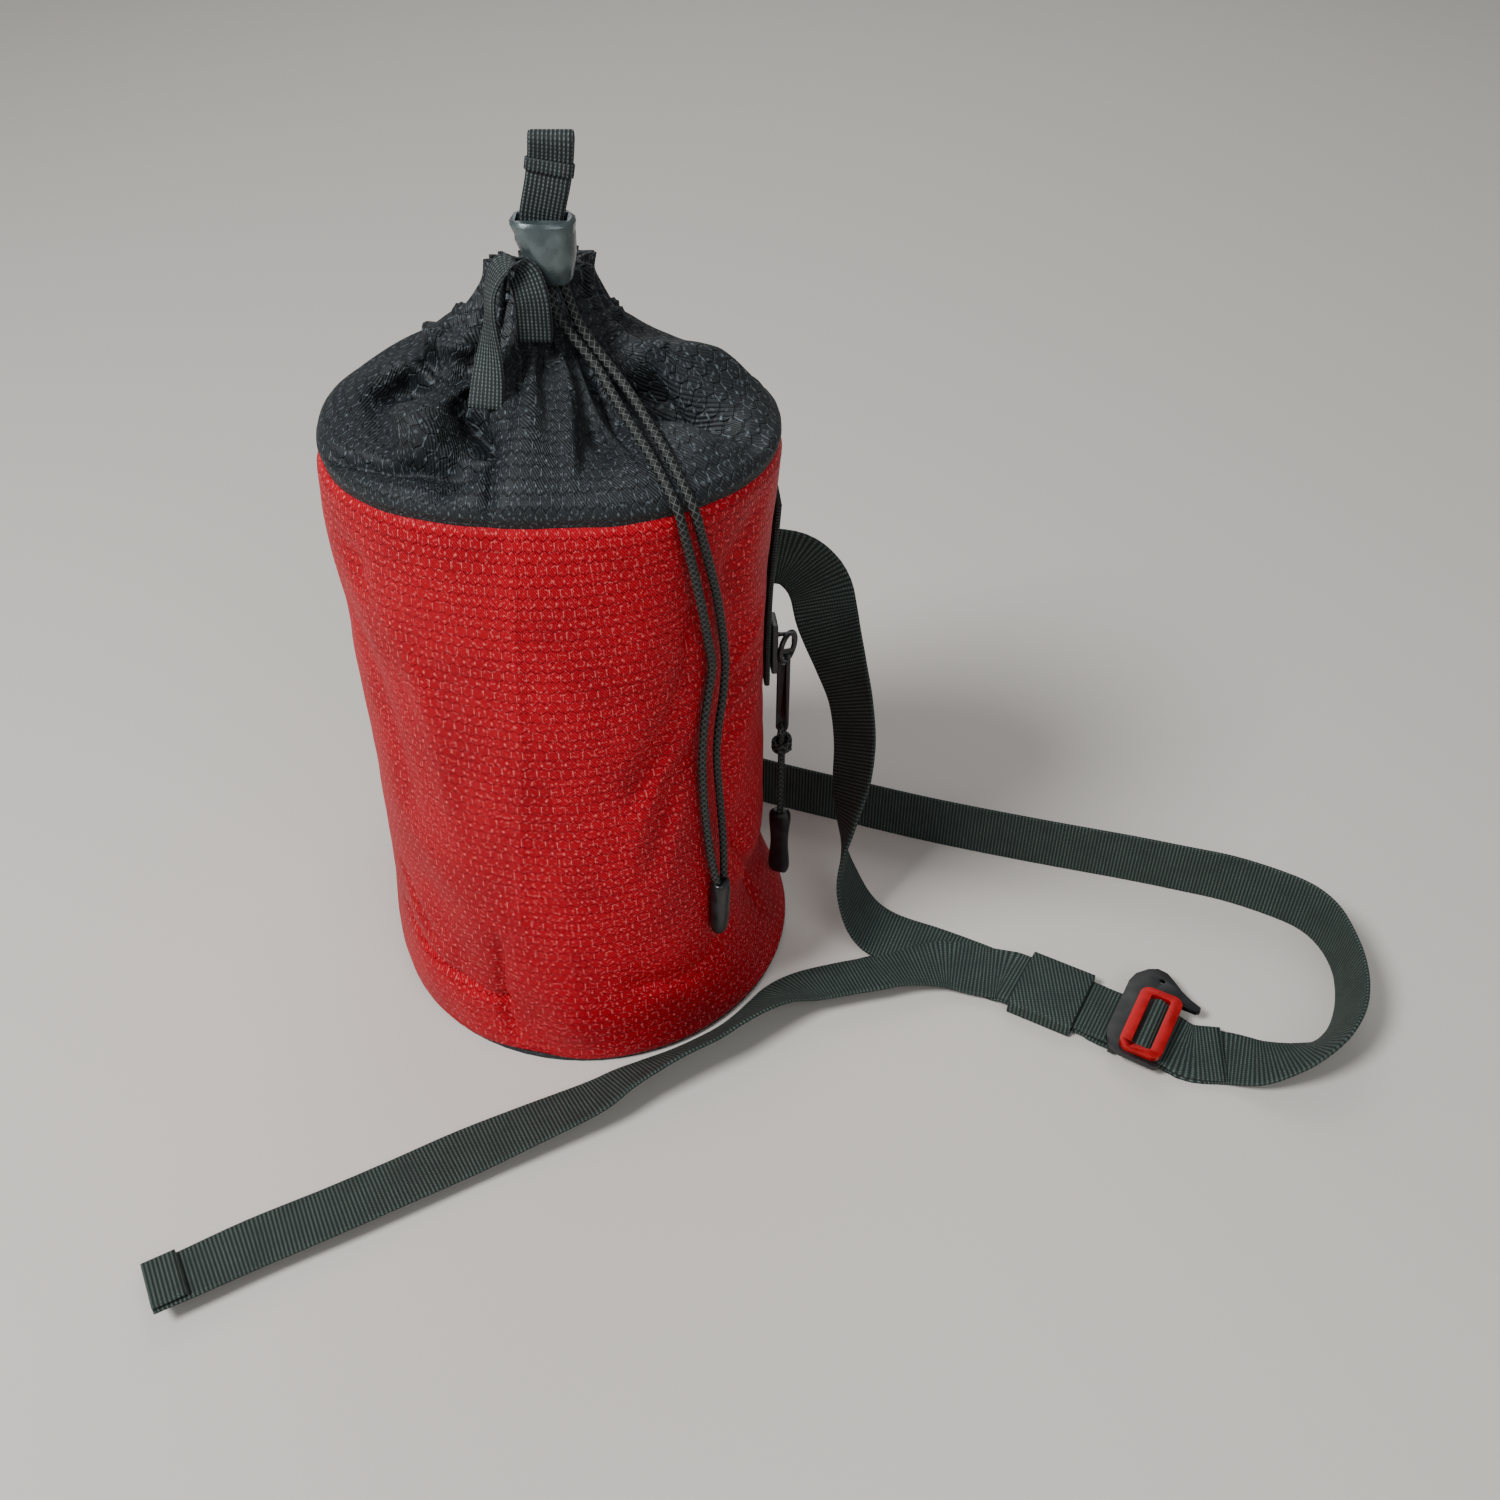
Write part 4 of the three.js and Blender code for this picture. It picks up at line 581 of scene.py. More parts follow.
# %% [markdown]
# ## Rings of a CAD wall or strap
# Each CAD wall and strap is a stack of rings with the same number of points. The mesh itself is loose
# triangles, which give a weave nothing to follow. Its points are merged in a copy, and the rings are
# read back in order, so that the surface has a direction along it and one round it.


# %% Points and their neighbours
def read_shape(node):
    shape = bmesh.new()
    shape.from_mesh(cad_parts[node].data)
    bmesh.ops.remove_doubles(shape, verts=shape.verts, dist=0.01 * MM)
    shape.verts.index_update()
    return shape, {v: [e.other_vert(v) for e in v.link_edges] for v in shape.verts}


def nearest_of(points, place):
    return min(points, key=lambda v: ((v.co - Vector(place) * MM).length, v.index))


def ordered_ring(points, near):
    """The points of a ring in order round it, each beside the one before."""
    layer = set(points)
    ring = [min(points, key=lambda v: (sum(w in layer for w in near[v]), v.index))]
    while len(ring) < len(points):
        free = [w for w in near[ring[-1]] if w in layer and w not in ring]
        ring.append(min(free, key=lambda v: (sum(w in layer for w in near[v]), v.index)))
    return ring


# %% From one ring to the next
def next_ring(ring, near, seen):
    """The ring after this one, its points in the same order, or nothing at the end of the solid.
    Each point has two neighbours ahead, and shares one of them with the point beside it."""
    ahead = [[w for w in near[v] if w not in seen] for v in ring]
    if any(len(choices) != 2 for choices in ahead):
        return None
    count = len(ring)
    options = []
    for side in (-1, 1):
        shared = [set(ahead[k]) & set(ahead[(k + side) % count]) for k in range(count)]
        if all(len(common) == 1 for common in shared):
            options.append([common.pop() for common in shared])
    return min(options, key=lambda option: sum((a.co - b.co).length for a, b in zip(ring, option)))


def stack_of(ring, near, seen):
    rings = []
    while ring:
        seen.update(ring)
        rings.append([v.co.copy() for v in ring])
        ring = next_ring(ring, near, seen)
    return rings


def strap_rings(node, start):
    """Rings of a strap, from the end that is nearest to start. Only end points have few neighbours."""
    shape, near = read_shape(node)
    corners = [v for v in shape.verts if len(near[v]) < 6]
    ends = sorted(corners, key=lambda v: ((v.co - Vector(start) * MM).length, v.index))[:4]
    rings = stack_of(ordered_ring(ends, near), near, set())
    shape.free()
    return rings


# %% [markdown]
# A wall has no free end. Its first ring is walked from two neighbouring points by going straight
# across each point, until it closes. The outside then follows upwards, and the inside after it, so
# the outer surface is the first half of the stack.


# %% Rings of a wall
def opposite(point, behind):
    """The neighbour straight across a point that has six of them."""
    after = {}
    for face in point.link_faces:
        a, b, c = (face.verts[(list(face.verts).index(point) + k) % 3] for k in range(3))
        after[b] = c
    return after[after[after[behind]]]


def lower_side(points, near):
    """Splits the points into their joined groups and returns the one that lies lowest."""
    groups, left = [], set(points)
    while left:
        group, edge = set(), [min(left, key=lambda v: v.index)]
        while edge:
            v = edge.pop()
            if v in left:
                left.discard(v)
                group.add(v)
                edge += near[v]
        groups.append(group)
    return min(groups, key=lambda side: sum(v.co.z for v in side))


def wall_outer(node, first, second):
    """Outer rings of a closed cloth wall, upwards from the ring that holds two neighbouring places."""
    shape, near = read_shape(node)
    start = nearest_of(shape.verts, first)
    ring = [start, nearest_of(near[start], second)]
    while opposite(ring[-1], ring[-2]) is not start:
        ring.append(opposite(ring[-1], ring[-2]))
    beside = {w for v in ring for w in near[v]} - set(ring)
    rings = stack_of(ring, near, lower_side(beside, near))
    shape.free()
    return rings[:(len(rings) + 1) // 2]


wall_rings = wall_outer("body_shell", (0.0, -61.9, 1.8), (6.1, -61.7, 1.8))
print("red wall:", len(wall_rings), "rings of", len(wall_rings[0]), "points")

# %% [markdown]
# ## Cloth walls
# Cloth on a bag hangs in broad, calm surfaces that a few folds cross. A simulation gives folds, but
# not the ones in the photograph. So the outer half of a wall's rings is drawn again with many more
# points, on a smooth surface through the CAD ones, and the folds that show are pressed into it.


# %% Denser rings
def resample_closed(ring, count):
    size = len(ring)
    places = []
    for k in range(count):
        place = k * size / count
        low = int(place)
        four = [ring[(low + step) % size] for step in (-1, 0, 1, 2)]
        places.append(smooth_between(*four, place - low))
    return places


def resample_open(rings, rows):
    size = len(rings)
    made = []
    for k in range(rows):
        place = k * (size - 1) / (rows - 1)
        low = min(int(place), size - 2)
        four = [rings[min(max(low + step, 0), size - 1)] for step in (-1, 0, 1, 2)]
        made.append([smooth_between(*column, place - low) for column in zip(*four)])
    return made


def bearing_of(point, middle):
    """Angle round the pouch, from the front towards the right."""
    return math.atan2(point.x - middle.x, middle.y - point.y)


def turned_to_front(ring):
    """The same ring, starting at the front and running towards the right."""
    middle = sum(ring, Vector()) / len(ring)
    bearings = [bearing_of(p, middle) for p in ring]
    first = min(range(len(ring)), key=lambda k: abs(bearings[k]))
    step = 1 if bearings[(first + 1) % len(ring)] > bearings[first] else -1
    return [ring[(first + step * k) % len(ring)] for k in range(len(ring))]


def dense_wall(rings, columns, rows):
    order = [rings[0].index(p) for p in turned_to_front(rings[0])]
    rings = [[ring[k] for k in order] for ring in rings]
    return resample_open([resample_closed(ring, columns) for ring in rings], rows)


# %% Normals and heights of a wall
def wall_normals(grid):
    rows, columns = len(grid), len(grid[0])
    normals = []
    for i in range(rows):
        low, high = grid[max(i - 1, 0)], grid[min(i + 1, rows - 1)]
        normals.append([
            (grid[i][(j + 1) % columns] - grid[i][j - 1]).cross(high[j] - low[j]).normalized()
            for j in range(columns)
        ])
    return normals


def pushed_out(grid, row, proud):
    """One row of a wall, moved out by some millimetres."""
    return [p + normal * proud * MM for p, normal in zip(grid[row], wall_normals(grid)[row])]


def climb_of(grid):
    """Mean length of cloth from the lowest row up to each row, in millimetres."""
    climb = [0.0]
    for low, high in zip(grid, grid[1:]):
        climb.append(climb[-1] + sum((b - a).length for a, b in zip(low, high)) / len(low) / MM)
    return climb


# %% [markdown]
# ## Folds
# Each fold is its half width and its depth in millimetres, whether it is sharp, and its route over
# the cloth: bearings in degrees, which turn from the front towards the right, and heights up the
# cloth in millimetres. A ridge is a fold with a depth below zero. A soft fold has a rounded section,
# and a sharp one comes to a narrow crease. Both run out towards the ends of their route.

# %% Depth of the folds
REACH = 3
CREASE_FALL, CREASE_ROUND, CREASE_DEEP = 1.6, 0.25, 1.4
FADE_FROM, FADE_OVER, FADE_POWER = 0.07, 0.86, 0.7


def nearest_on_route(bearing, height, around, route, limit):
    """Distance to a route on the cloth, and how far along the route that is, as a share of it."""
    nearest, at = limit, 0.0
    for leg, ((b0, h0), (b1, h1)) in enumerate(zip(route, route[1:])):
        across = math.radians((bearing - b0 + 180) % 360 - 180) * around
        reach = math.radians((b1 - b0 + 180) % 360 - 180) * around
        up, rise = height - h0, h1 - h0
        share = (across * reach + up * rise) / (reach * reach + rise * rise)
        share = min(max(share, 0.0), 1.0)
        off = math.hypot(across - reach * share, up - rise * share)
        if off < nearest:
            nearest, at = off, (leg + share) / (len(route) - 1)
    return nearest, at


def fold_depth(bearing, height, around, folds):
    """How deep the folds are at one place of the cloth. around is the radius there, in millimetres."""
    depth = 0.0
    for wide, deep, sharp, route in folds:
        limit = REACH * wide
        heights = [place[1] for place in route]
        if not min(heights) - limit < height < max(heights) + limit:
            continue
        nearest, at = nearest_on_route(bearing, height, around, route, limit)
        if nearest < limit:
            off = nearest / wide
            fade = math.sin(math.pi * (FADE_FROM + FADE_OVER * at)) ** FADE_POWER
            crease = math.exp(-CREASE_FALL * math.hypot(off, CREASE_ROUND)) * CREASE_DEEP
            depth += deep * fade * (crease if sharp else math.exp(-off * off))
    return depth


# %% [markdown]
# Between the folds cloth is never quite smooth, so two layers of noise press in fine wrinkles. All of
# it fades out over the seams, which are stitched and hold their line. The pressed surface gets its
# thickness from a Solidify modifier, which keeps the wall even where it bends.

# %% Pressing the folds into a wall
SMALLER = 0.4
OTHER_PLACE = Vector((7, 3, 1))


def pressed_wall(grid, folds, wrinkle, wrinkle_size, low_seam, high_seam):
    """Presses the folds and fine wrinkles in. They fade out over the two seams, in millimetres."""
    climb = climb_of(grid)
    made = []
    for row, row_normals, height in zip(grid, wall_normals(grid), climb):
        middle = sum(row, Vector()) / len(row)
        around = sum((p - middle).length for p in row) / len(row) / MM
        held = min(height / low_seam, (climb[-1] - height) / high_seam, 1.0)
        new_row = []
        for point, normal in zip(row, row_normals):
            bearing = math.degrees(bearing_of(point, middle))
            depth = fold_depth(bearing, height, around, folds)
            place = point / (wrinkle_size * MM)
            depth += wrinkle * noise.noise(place)
            depth += SMALLER * wrinkle * noise.noise(place / SMALLER + OTHER_PLACE)
            new_row.append(point - normal * depth * held * MM)
        made.append(new_row)
    return made


def cloth_piece(name, grid, thickness, cells, material, node):
    """Closed cloth wall from a grid of outer points, with a UV in millimetres of flat cloth. cells is
    how many cells of the ripstop go round it."""
    rows, columns = len(grid), len(grid[0])
    climb = climb_of(grid)
    faces, uvs = [], []
    for i in range(rows - 1):
        low, high = i * columns, (i + 1) * columns
        for j in range(columns):
            n = (j + 1) % columns
            faces.append((low + j, low + n, high + n, high + j))
            u0, u1 = j / columns * cells * CELL_WIDE, (j + 1) / columns * cells * CELL_WIDE
            uvs += [(u0, climb[i]), (u1, climb[i]), (u1, climb[i + 1]), (u0, climb[i + 1])]
    piece = piece_from(name, [p for row in grid for p in row], faces, uvs)
    make_active(piece)
    wall = piece.modifiers.new("wall", "SOLIDIFY")
    wall.thickness = thickness * MM
    wall.offset = -1
    bpy.ops.object.modifier_apply(modifier=wall.name)
    piece.data.materials.append(material)
    finish_piece(piece, [node])


# %% [markdown]
# ## Red wall
# The wall is one tube of ripstop, sewn to the base and to the cuff, and it sags like a half-full bag:
# a sharp pull runs down beside the drawcord, soft folds fan out from the rim seam, and the foot is
# pinched in at the right. Sculpting could do this by hand, but a list of folds can be set against the
# photograph one by one. The top rows are turned in, as the cloth is at the seam.

# %% Folds of the red wall
BODY_FOLDS = [
    # half width, depth, sharp, route of (bearing, height)
    (4.0, 1.8, False, [(-61, 171), (-55, 168), (-51, 159)]),
    (4.0, -1.0, False, [(-46, 159), (-34, 137), (-30, 114), (-28, 84)]),
    (5.0, 1.7, False, [(-66, 150), (-54, 130), (-47, 104), (-44, 82)]),
    (2.0, -0.7, True, [(-4, 184), (-5, 156), (-6, 119), (-10, 75), (-12, 51)]),
    (4.0, 1.8, False, [(45, 180), (48, 159), (43, 140), (38, 129)]),
    (4.2, 3.0, False, [(42, 132), (34, 121), (27, 111), (23, 101)]),
    (3.8, 2.6, False, [(45, 109), (35, 104), (29, 89), (26, 75)]),
    (5.5, 3.0, False, [(59, 165), (62, 142), (62, 114), (58, 94), (55, 80)]),
    (3.5, 1.5, False, [(69, 179), (64, 171), (59, 159), (60, 145)]),
    (2.2, -1.3, False, [(56, 112), (66, 128), (78, 140)]),
    (2.2, -1.3, False, [(56, 101), (66, 114), (78, 126)]),
    (2.2, -1.0, False, [(56, 91), (66, 101), (78, 112)]),
    (3.5, 2.6, True, [(55, 80), (61, 59), (75, 30), (75, 17)]),
    (3.0, 1.5, False, [(48, 64), (55, 49), (69, 28)]),
    (2.2, 3.0, True, [(-61, 34), (-47, 26), (-31, 22), (-18, 20)]),
    (2.4, 1.3, False, [(-60, 53), (-53, 44), (-41, 34)]),
    (2.6, 2.6, True, [(-19, 50), (-19, 38), (-20, 17), (-18, 3)]),
    (3.0, 1.5, False, [(18, 31), (35, 26), (54, 30)]),
    (4.0, 1.4, False, [(150, 165), (180, 92)]),
    (4.0, 1.3, False, [(200, 156), (230, 72)]),
    (3.4, 1.3, False, [(120, 70), (160, 30)]),
    (4.0, 1.2, False, [(250, 122), (280, 60)]),
    (4.0, 1.4, False, [(100, 150), (118, 110), (112, 80)]),
]
print("red wall:", len(BODY_FOLDS), "folds")

# %% Red wall
BODY_COLUMNS, BODY_ROWS, BODY_CELLS, BODY_THICK = 384, 110, 114, 1.3
body_grid = dense_wall(wall_rings, BODY_COLUMNS, BODY_ROWS)
body_grid = pressed_wall(
    body_grid, BODY_FOLDS, wrinkle=0.6, wrinkle_size=22, low_seam=4, high_seam=7,
)
for row, turned_in in ((-1, 2.4), (-2, 1.3), (-3, 0.5)):
    body_grid[row] = pushed_out(body_grid, row, -turned_in)
cloth_piece(
    "red_wall", body_grid, BODY_THICK, BODY_CELLS, RED_CLOTH, "body_shell",
)

# %% [markdown]
# ## Gathered cuff
# The black cuff is a tube too, drawn in by the cord, so folds run up it and crowd together at the
# neck. A gather is cloth that is too long for its seam and waves in and out of it. One wave with an
# uneven phase gives the large gathers, a finer one the small, and both grow towards the neck.

# %% Folds of the cuff
CUFF_FOLDS = [
    # half width, depth, sharp, route of (bearing, height)
    (6.5, -2.4, False, [(-179, 10), (-90, 10), (0, 10), (90, 10), (179, 10)]),
    (2.6, 8.0, True, [(-47, 41), (-34, 34), (-30, 30), (-20, 22), (-16, 20), (-21, 17), (-26, 11)]),
    (1.8, 3.2, True, [(-16, 26), (-13, 20), (-11, 11), (-11, 6.5)]),
    (2.6, 6.6, True, [(-67, 8), (-54, 12), (-43, 13.5), (-37, 14.5), (-24, 16)]),
    (3.0, 8.0, False, [(-74, 24), (-75, 26.5), (-74, 29.5), (-70, 31.5), (-60, 34)]),
    (3.0, 3.0, False, [(-74, 24), (-66, 22), (-54, 19), (-47, 16)]),
    (4.4, -5.4, False, [(-66, 25), (-54, 24), (-42, 22), (-34, 20)]),
    (2.2, 3.4, True, [(-40, 33), (-34, 30), (-30, 28)]),
    (2.4, 4.6, True, [(-88, 35), (-74, 36), (-57, 38)]),
    (2.2, -3.4, False, [(-96, 40), (-82, 40), (-70, 41)]),
    (2.0, -3.2, False, [(-64, 41), (-54, 42), (-46, 43)]),
    (3.8, 11.0, False, [(52, 34), (62, 30), (67, 25), (71, 20), (74, 15), (75, 11)]),
    (3.6, -5.0, False, [(70, 38), (82, 31), (90, 23), (94, 14)]),
    (4.4, -3.0, False, [(50, 24), (57, 18), (62, 12)]),
    (2.0, 3.6, True, [(41, 40), (42, 35), (43, 30), (41, 24), (40, 16)]),
    (2.4, 2.6, False, [(29, 29), (30, 26), (31, 22), (31, 17)]),
    (2.4, -2.6, False, [(24, 38), (18, 26), (16, 13)]),
    (9.0, -2.6, False, [(-3, 34), (2, 12)]),
    (3.4, 5.0, False, [(112, 42), (118, 26), (110, 10)]),
    (3.4, 4.8, False, [(150, 42), (146, 26), (152, 10)]),
    (3.4, 5.0, False, [(186, 42), (180, 24), (184, 10)]),
    (3.4, 4.8, False, [(214, 42), (220, 26), (212, 10)]),
    (3.4, 4.6, False, [(246, 42), (240, 24), (250, 10)]),
]
print("cuff:", len(CUFF_FOLDS), "folds")

# %% Gathers
GATHERS, SMALL_GATHERS, SMALL_SHARE = 17, 31, 0.35


def gather_wave(turn):
    """Height of the gathers at an angle round the wall. The phase sways, so no two are alike."""
    sway = 1.1 * math.sin(3 * turn) + 0.7 * math.sin(5 * turn + 1.0)
    small_sway = 2.0 * math.sin(2 * turn)
    small = math.sin(SMALL_GATHERS * turn + small_sway)
    return math.sin(GATHERS * turn + sway) + SMALL_SHARE * small


def gathered(grid, deep, from_row_share):
    """Fine gathers that start part of the way up and grow towards the top row."""
    rows, columns = len(grid), len(grid[0])
    waves = [gather_wave(2 * math.pi * j / columns) for j in range(columns)]
    made = []
    for i, (row, row_normals) in enumerate(zip(grid, wall_normals(grid))):
        share = i / (rows - 1)
        grow = min(max((share - from_row_share) / (1 - from_row_share), 0.0), 1.0)
        out = deep * grow * MM
        made.append([p + normal * wave * out for p, normal, wave in zip(row, row_normals, waves)])
    return made


# %% Cuff
CUFF_COLUMNS, CUFF_ROWS, CUFF_CELLS, CUFF_THICK = 512, 72, 104, 1.0
cuff_rings = wall_outer("cuff", (0.0, -56.0, 183.0), (3.9, -56.0, 183.0))
cuff_grid = gathered(dense_wall(cuff_rings, CUFF_COLUMNS, CUFF_ROWS), deep=1.5, from_row_share=0.4)
cuff_grid = pressed_wall(
    cuff_grid, CUFF_FOLDS, wrinkle=0.5, wrinkle_size=14, low_seam=7, high_seam=3,
)
cloth_piece("black_cuff", cuff_grid, CUFF_THICK, CUFF_CELLS, BLACK_CLOTH, "cuff")

# %% [markdown]
# ## Cord channel
# The channel is the hem that the drawcord runs in. It flares out above the neck in small frills, with
# the same gathers as the cuff, so that the cloth seems to go on. Its two lowest rows lie just over
# the top of the cuff and hide the seam.

# %% Cord channel
CHANNEL_COLUMNS, CHANNEL_ROWS, CHANNEL_CELLS, CHANNEL_THICK = 512, 24, 40, 1.0
channel_rings = wall_outer("cord_channel", (0.0, -19.1, 210.9), (1.5, -18.1, 209.9))
channel_grid = dense_wall(channel_rings, CHANNEL_COLUMNS, CHANNEL_ROWS)
channel_grid = gathered(channel_grid, deep=1.4, from_row_share=-0.5)
overlap = [pushed_out(cuff_grid, row, proud) for row, proud in ((-5, 0.2), (-3, 0.5))]
cloth_piece(
    "neck_channel", overlap + channel_grid, CHANNEL_THICK, CHANNEL_CELLS,
    BLACK_CLOTH, "cord_channel",
)

# %% [markdown]
# ## Straps
# The waist belt is one length of 20 mm webbing, and the tab, the carry loop, the zip tape and the hem
# at the belt's end are short lengths of strap. Their CAD rings have four corners, which give the
# middle line and the direction across the strap. The sweep follows every turn and twist of it, with
# round edges as on woven webbing, where a plain copy would have square ones.

# %% Section and line of a strap
EIGHTH_TURN = 0.785


def ribbon_section(width, thick):
    """Flat section with round edges, in millimetres, in order round it."""
    half, edge = width / 2 * MM, thick / 2 * MM
    end, shoulder = half - edge, half - 2.2 * edge
    top = [(w, edge) for w in (end, shoulder, 0.5 * half, 0.0, -0.5 * half, -shoulder, -end)]
    turns = (EIGHTH_TURN, 0.0, -EIGHTH_TURN)
    left = [(-end - edge * math.cos(a), edge * math.sin(a)) for a in turns]
    return top + left + [(-w, -t) for w, t in top] + [(-w, -t) for w, t in left]


def strap_line(rings):
    """The middle of each ring and the direction across it, along its two longer sides."""
    line, across = [], []
    long_side = max((0, 1), key=lambda k: (rings[0][(k + 1) % 4] - rings[0][k]).length)
    for ring in rings:
        a, b = ring[long_side], ring[(long_side + 1) % 4]
        c, d = ring[(long_side + 2) % 4], ring[(long_side + 3) % 4]
        line.append((a + b + c + d) / 4)
        across.append(((b - a) + (c - d)).normalized())
    return line, across


# %% Straps
TAB_START = (5.3, -40, 236)
STRAPS = [
    # piece, CAD node, place of its first end, width, thickness, spacing of its rows, material
    ("waist_belt", "belt_strap", (-108, -137, 0), 20, 1.2, 2.0, BELT_WEB),
    ("tail_hem", "belt_hem", (-111, -136, 3), 20, 1.2, 1.5, BELT_WEB),
    ("carry_loop", "grab_loop", (-9, -34, 203), 8, 1.2, 1.0, TAB_WEB),
    ("doubled_tab", "pull_tab", TAB_START, 9.6, 1.2, 0.8, TAB_WEB),
    ("zip_strip", "zip_tape", (56, -1, 96), 9, 1.6, 1.5, ZIP_WEB),
]
for name, node, start, width, thick, spacing, material in STRAPS:
    middles, sides = strap_line(strap_rings(node, start))
    line = smooth_route(middles, spacing * MM)
    turns = [sides[0]]
    ends = [sides[0], *sides, sides[-1]]
    for i in range(len(sides) - 1):
        steps = max(1, round((middles[i + 1] - middles[i]).length / (spacing * MM)))
        turns += [smooth_between(*ends[i:i + 4], (k + 1) / steps) for k in range(steps)]
    strap = sweep(name, line, turns, ribbon_section(width, thick))
    strap.data.materials.append(material)
    finish_piece(strap, [node])
    print(name, "length in mm:", round(length_of(line) / MM))

# %% [markdown]
# ## Small hard parts
# The cord lock, the cord end, the zip's slider and puller and the buckle are hard and keep their CAD
# shape. A real edge is never quite sharp, and one that is gives no highlight. So each is a merged
# copy of its CAD solid whose edges a Bevel modifier rounds, or which a Subdivision Surface rounds all
# over where the real part is round.

# %% Soft copies of CAD solids
BEVEL_ROUNDS = 3
SMOOTH_BELOW = math.radians(40)


def soft_copy(name, node, material, bevel=0.0, angle=30, rounds=0):
    """Copy of a CAD solid. bevel is in millimetres, for edges sharper than the angle in degrees, and
    rounds is how often the surface is subdivided."""
    piece = bpy.data.objects.new(name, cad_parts[node].data.copy())
    bpy.context.scene.collection.objects.link(piece)
    piece.data.materials.clear()
    piece.data.materials.append(material)
    make_active(piece)
    bpy.ops.object.mode_set(mode="EDIT")
    bpy.ops.mesh.select_all(action="SELECT")
    bpy.ops.mesh.remove_doubles(threshold=0.01 * MM)
    bpy.ops.mesh.tris_convert_to_quads()
    bpy.ops.object.mode_set(mode="OBJECT")
    if bevel:
        edge = piece.modifiers.new("edges", "BEVEL")
        edge.width = bevel * MM
        edge.segments = BEVEL_ROUNDS
        edge.limit_method = "ANGLE"
        edge.angle_limit = math.radians(angle)
        bpy.ops.object.modifier_apply(modifier=edge.name)
    if rounds:
        soft = piece.modifiers.new("round", "SUBSURF")
        soft.levels = rounds
        soft.render_levels = rounds
        bpy.ops.object.modifier_apply(modifier=soft.name)
    finish_piece(piece, [node])
    make_active(piece)
    bpy.ops.object.shade_smooth_by_angle(angle=SMOOTH_BELOW)
    return piece


# %% [markdown]
# The cord lock is a tapered barrel, pinched between finger and thumb. In the photograph it is fuller
# below its head than its CAD solid, so its points are moved out from its axis, by a third over most
# of its height and not at all at the head.

# %% Cord lock
LOCK_FOOT = Vector((7.4, -17.9, 226.0)) * MM
LOCK_HEAD = Vector((5.4, -17.3, 239.0)) * MM
FULLER, FULL_BELOW, FULL_OVER = 0.32, 0.86, 0.2
lock = soft_copy("barrel_lock", "cord_lock", LOCK_MOULDING, bevel=0.5, angle=28)
for vertex in lock.data.vertices:
    share = (vertex.co.z - LOCK_FOOT.z) / (LOCK_HEAD.z - LOCK_FOOT.z)
    axis = LOCK_FOOT.lerp(LOCK_HEAD, share)
    wider = 1 + FULLER * min(max((FULL_BELOW - share) / FULL_OVER, 0.0), 1.0)
    vertex.co.x = axis.x + (vertex.co.x - axis.x) * wider
    vertex.co.y = axis.y + (vertex.co.y - axis.y) * wider

# %% Cord end, zip parts and buckle
cord_end = soft_copy("cord_tip", "cord_end", BLACK_MOULDING, rounds=2)
soft_copy("slider", "zip_slider", BLACK_METAL, bevel=0.6, rounds=1)
soft_copy("puller_link", "zip_link", BLACK_MOULDING, bevel=0.3)
soft_copy("puller_grip", "zip_grip", BLACK_MOULDING, rounds=2)
soft_copy("lower_plate", "buckle_plate", BLACK_METAL, bevel=0.4)
soft_copy("red_bezel", "buckle_frame", RED_ANODISED, bevel=0.5)

# %% [markdown]
# ## Slider ring
# A round wire ring joins the slider to the link. A circle with a bevel would do as well, but a torus
# is a ring of wire to begin with. It is set on its edge and turned a little towards the front, in the
# middle of its CAD node.

# %% Slider ring
ring_low, ring_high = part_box("zip_ring")
RING_PROUD = Vector((1.0, 0, 0.6)) * MM
RING_WIRE = 0.8 * MM
RING_RADIUS = (ring_high[2] - ring_low[2]) / 2
deselect()
bpy.ops.mesh.primitive_torus_add(
    location=(Vector(ring_low) + Vector(ring_high)) / 2 + RING_PROUD,
    rotation=(0, math.radians(90), math.radians(-30)),
    major_radius=RING_RADIUS, minor_radius=RING_WIRE, major_segments=48, minor_segments=12,
)
ring = bpy.context.object
ring.name = "slider_ring"
bpy.ops.object.transform_apply(location=True, rotation=True, scale=True)
ring.data.materials.append(BLACK_METAL)
finish_piece(ring, ["zip_ring"])

# %% [markdown]
# ## Bar tack on the tab
# The doubled tab is sewn together near its top by a short cross band, a little wider than the tab. It
# has no CAD solid. A cube would lie straight, and the tab bends, so the band is swept along the part
# of the tab's front run that it covers.

# %% Bar tack
TACK_LOW, TACK_HIGH = 249.3 * MM, 252.6 * MM
TACK_WIDE, TACK_THICK, TACK_SPACING = 10.6, 2.4, 0.5
tab_middles, tab_sides = strap_line(strap_rings("pull_tab", TAB_START))
top = max(range(len(tab_middles)), key=lambda k: tab_middles[k].z)
front_run = smooth_route(tab_middles[:top + 1], TACK_SPACING * MM)
tack_line = [p for p in front_run if TACK_LOW < p.z < TACK_HIGH]
tack_across = [tab_sides[1]] * len(tack_line)
tack = sweep("bar_tack", tack_line, tack_across, ribbon_section(TACK_WIDE, TACK_THICK))
tack.data.materials.append(TAB_WEB)
finish_piece(tack)

# %% [markdown]
# ## Keeper, carrier and base
# The sleeve that keeps the belt's two layers together, the carrier on the back and the round base
# are plain cloth pieces that keep the CAD shape. A weave needs a UV, and unwrapping by hand would
# do, but a cube projection gives each side the scale of the weave in one step, in millimetres.


# %% Keeper, carrier and base
def woven_copy(name, node, material):
    piece = soft_copy(name, node, material, bevel=0.3)
    make_active(piece)
    bpy.ops.object.mode_set(mode="EDIT")
    bpy.ops.mesh.select_all(action="SELECT")
    bpy.ops.uv.cube_project(cube_size=MM, correct_aspect=False)
    bpy.ops.object.mode_set(mode="OBJECT")


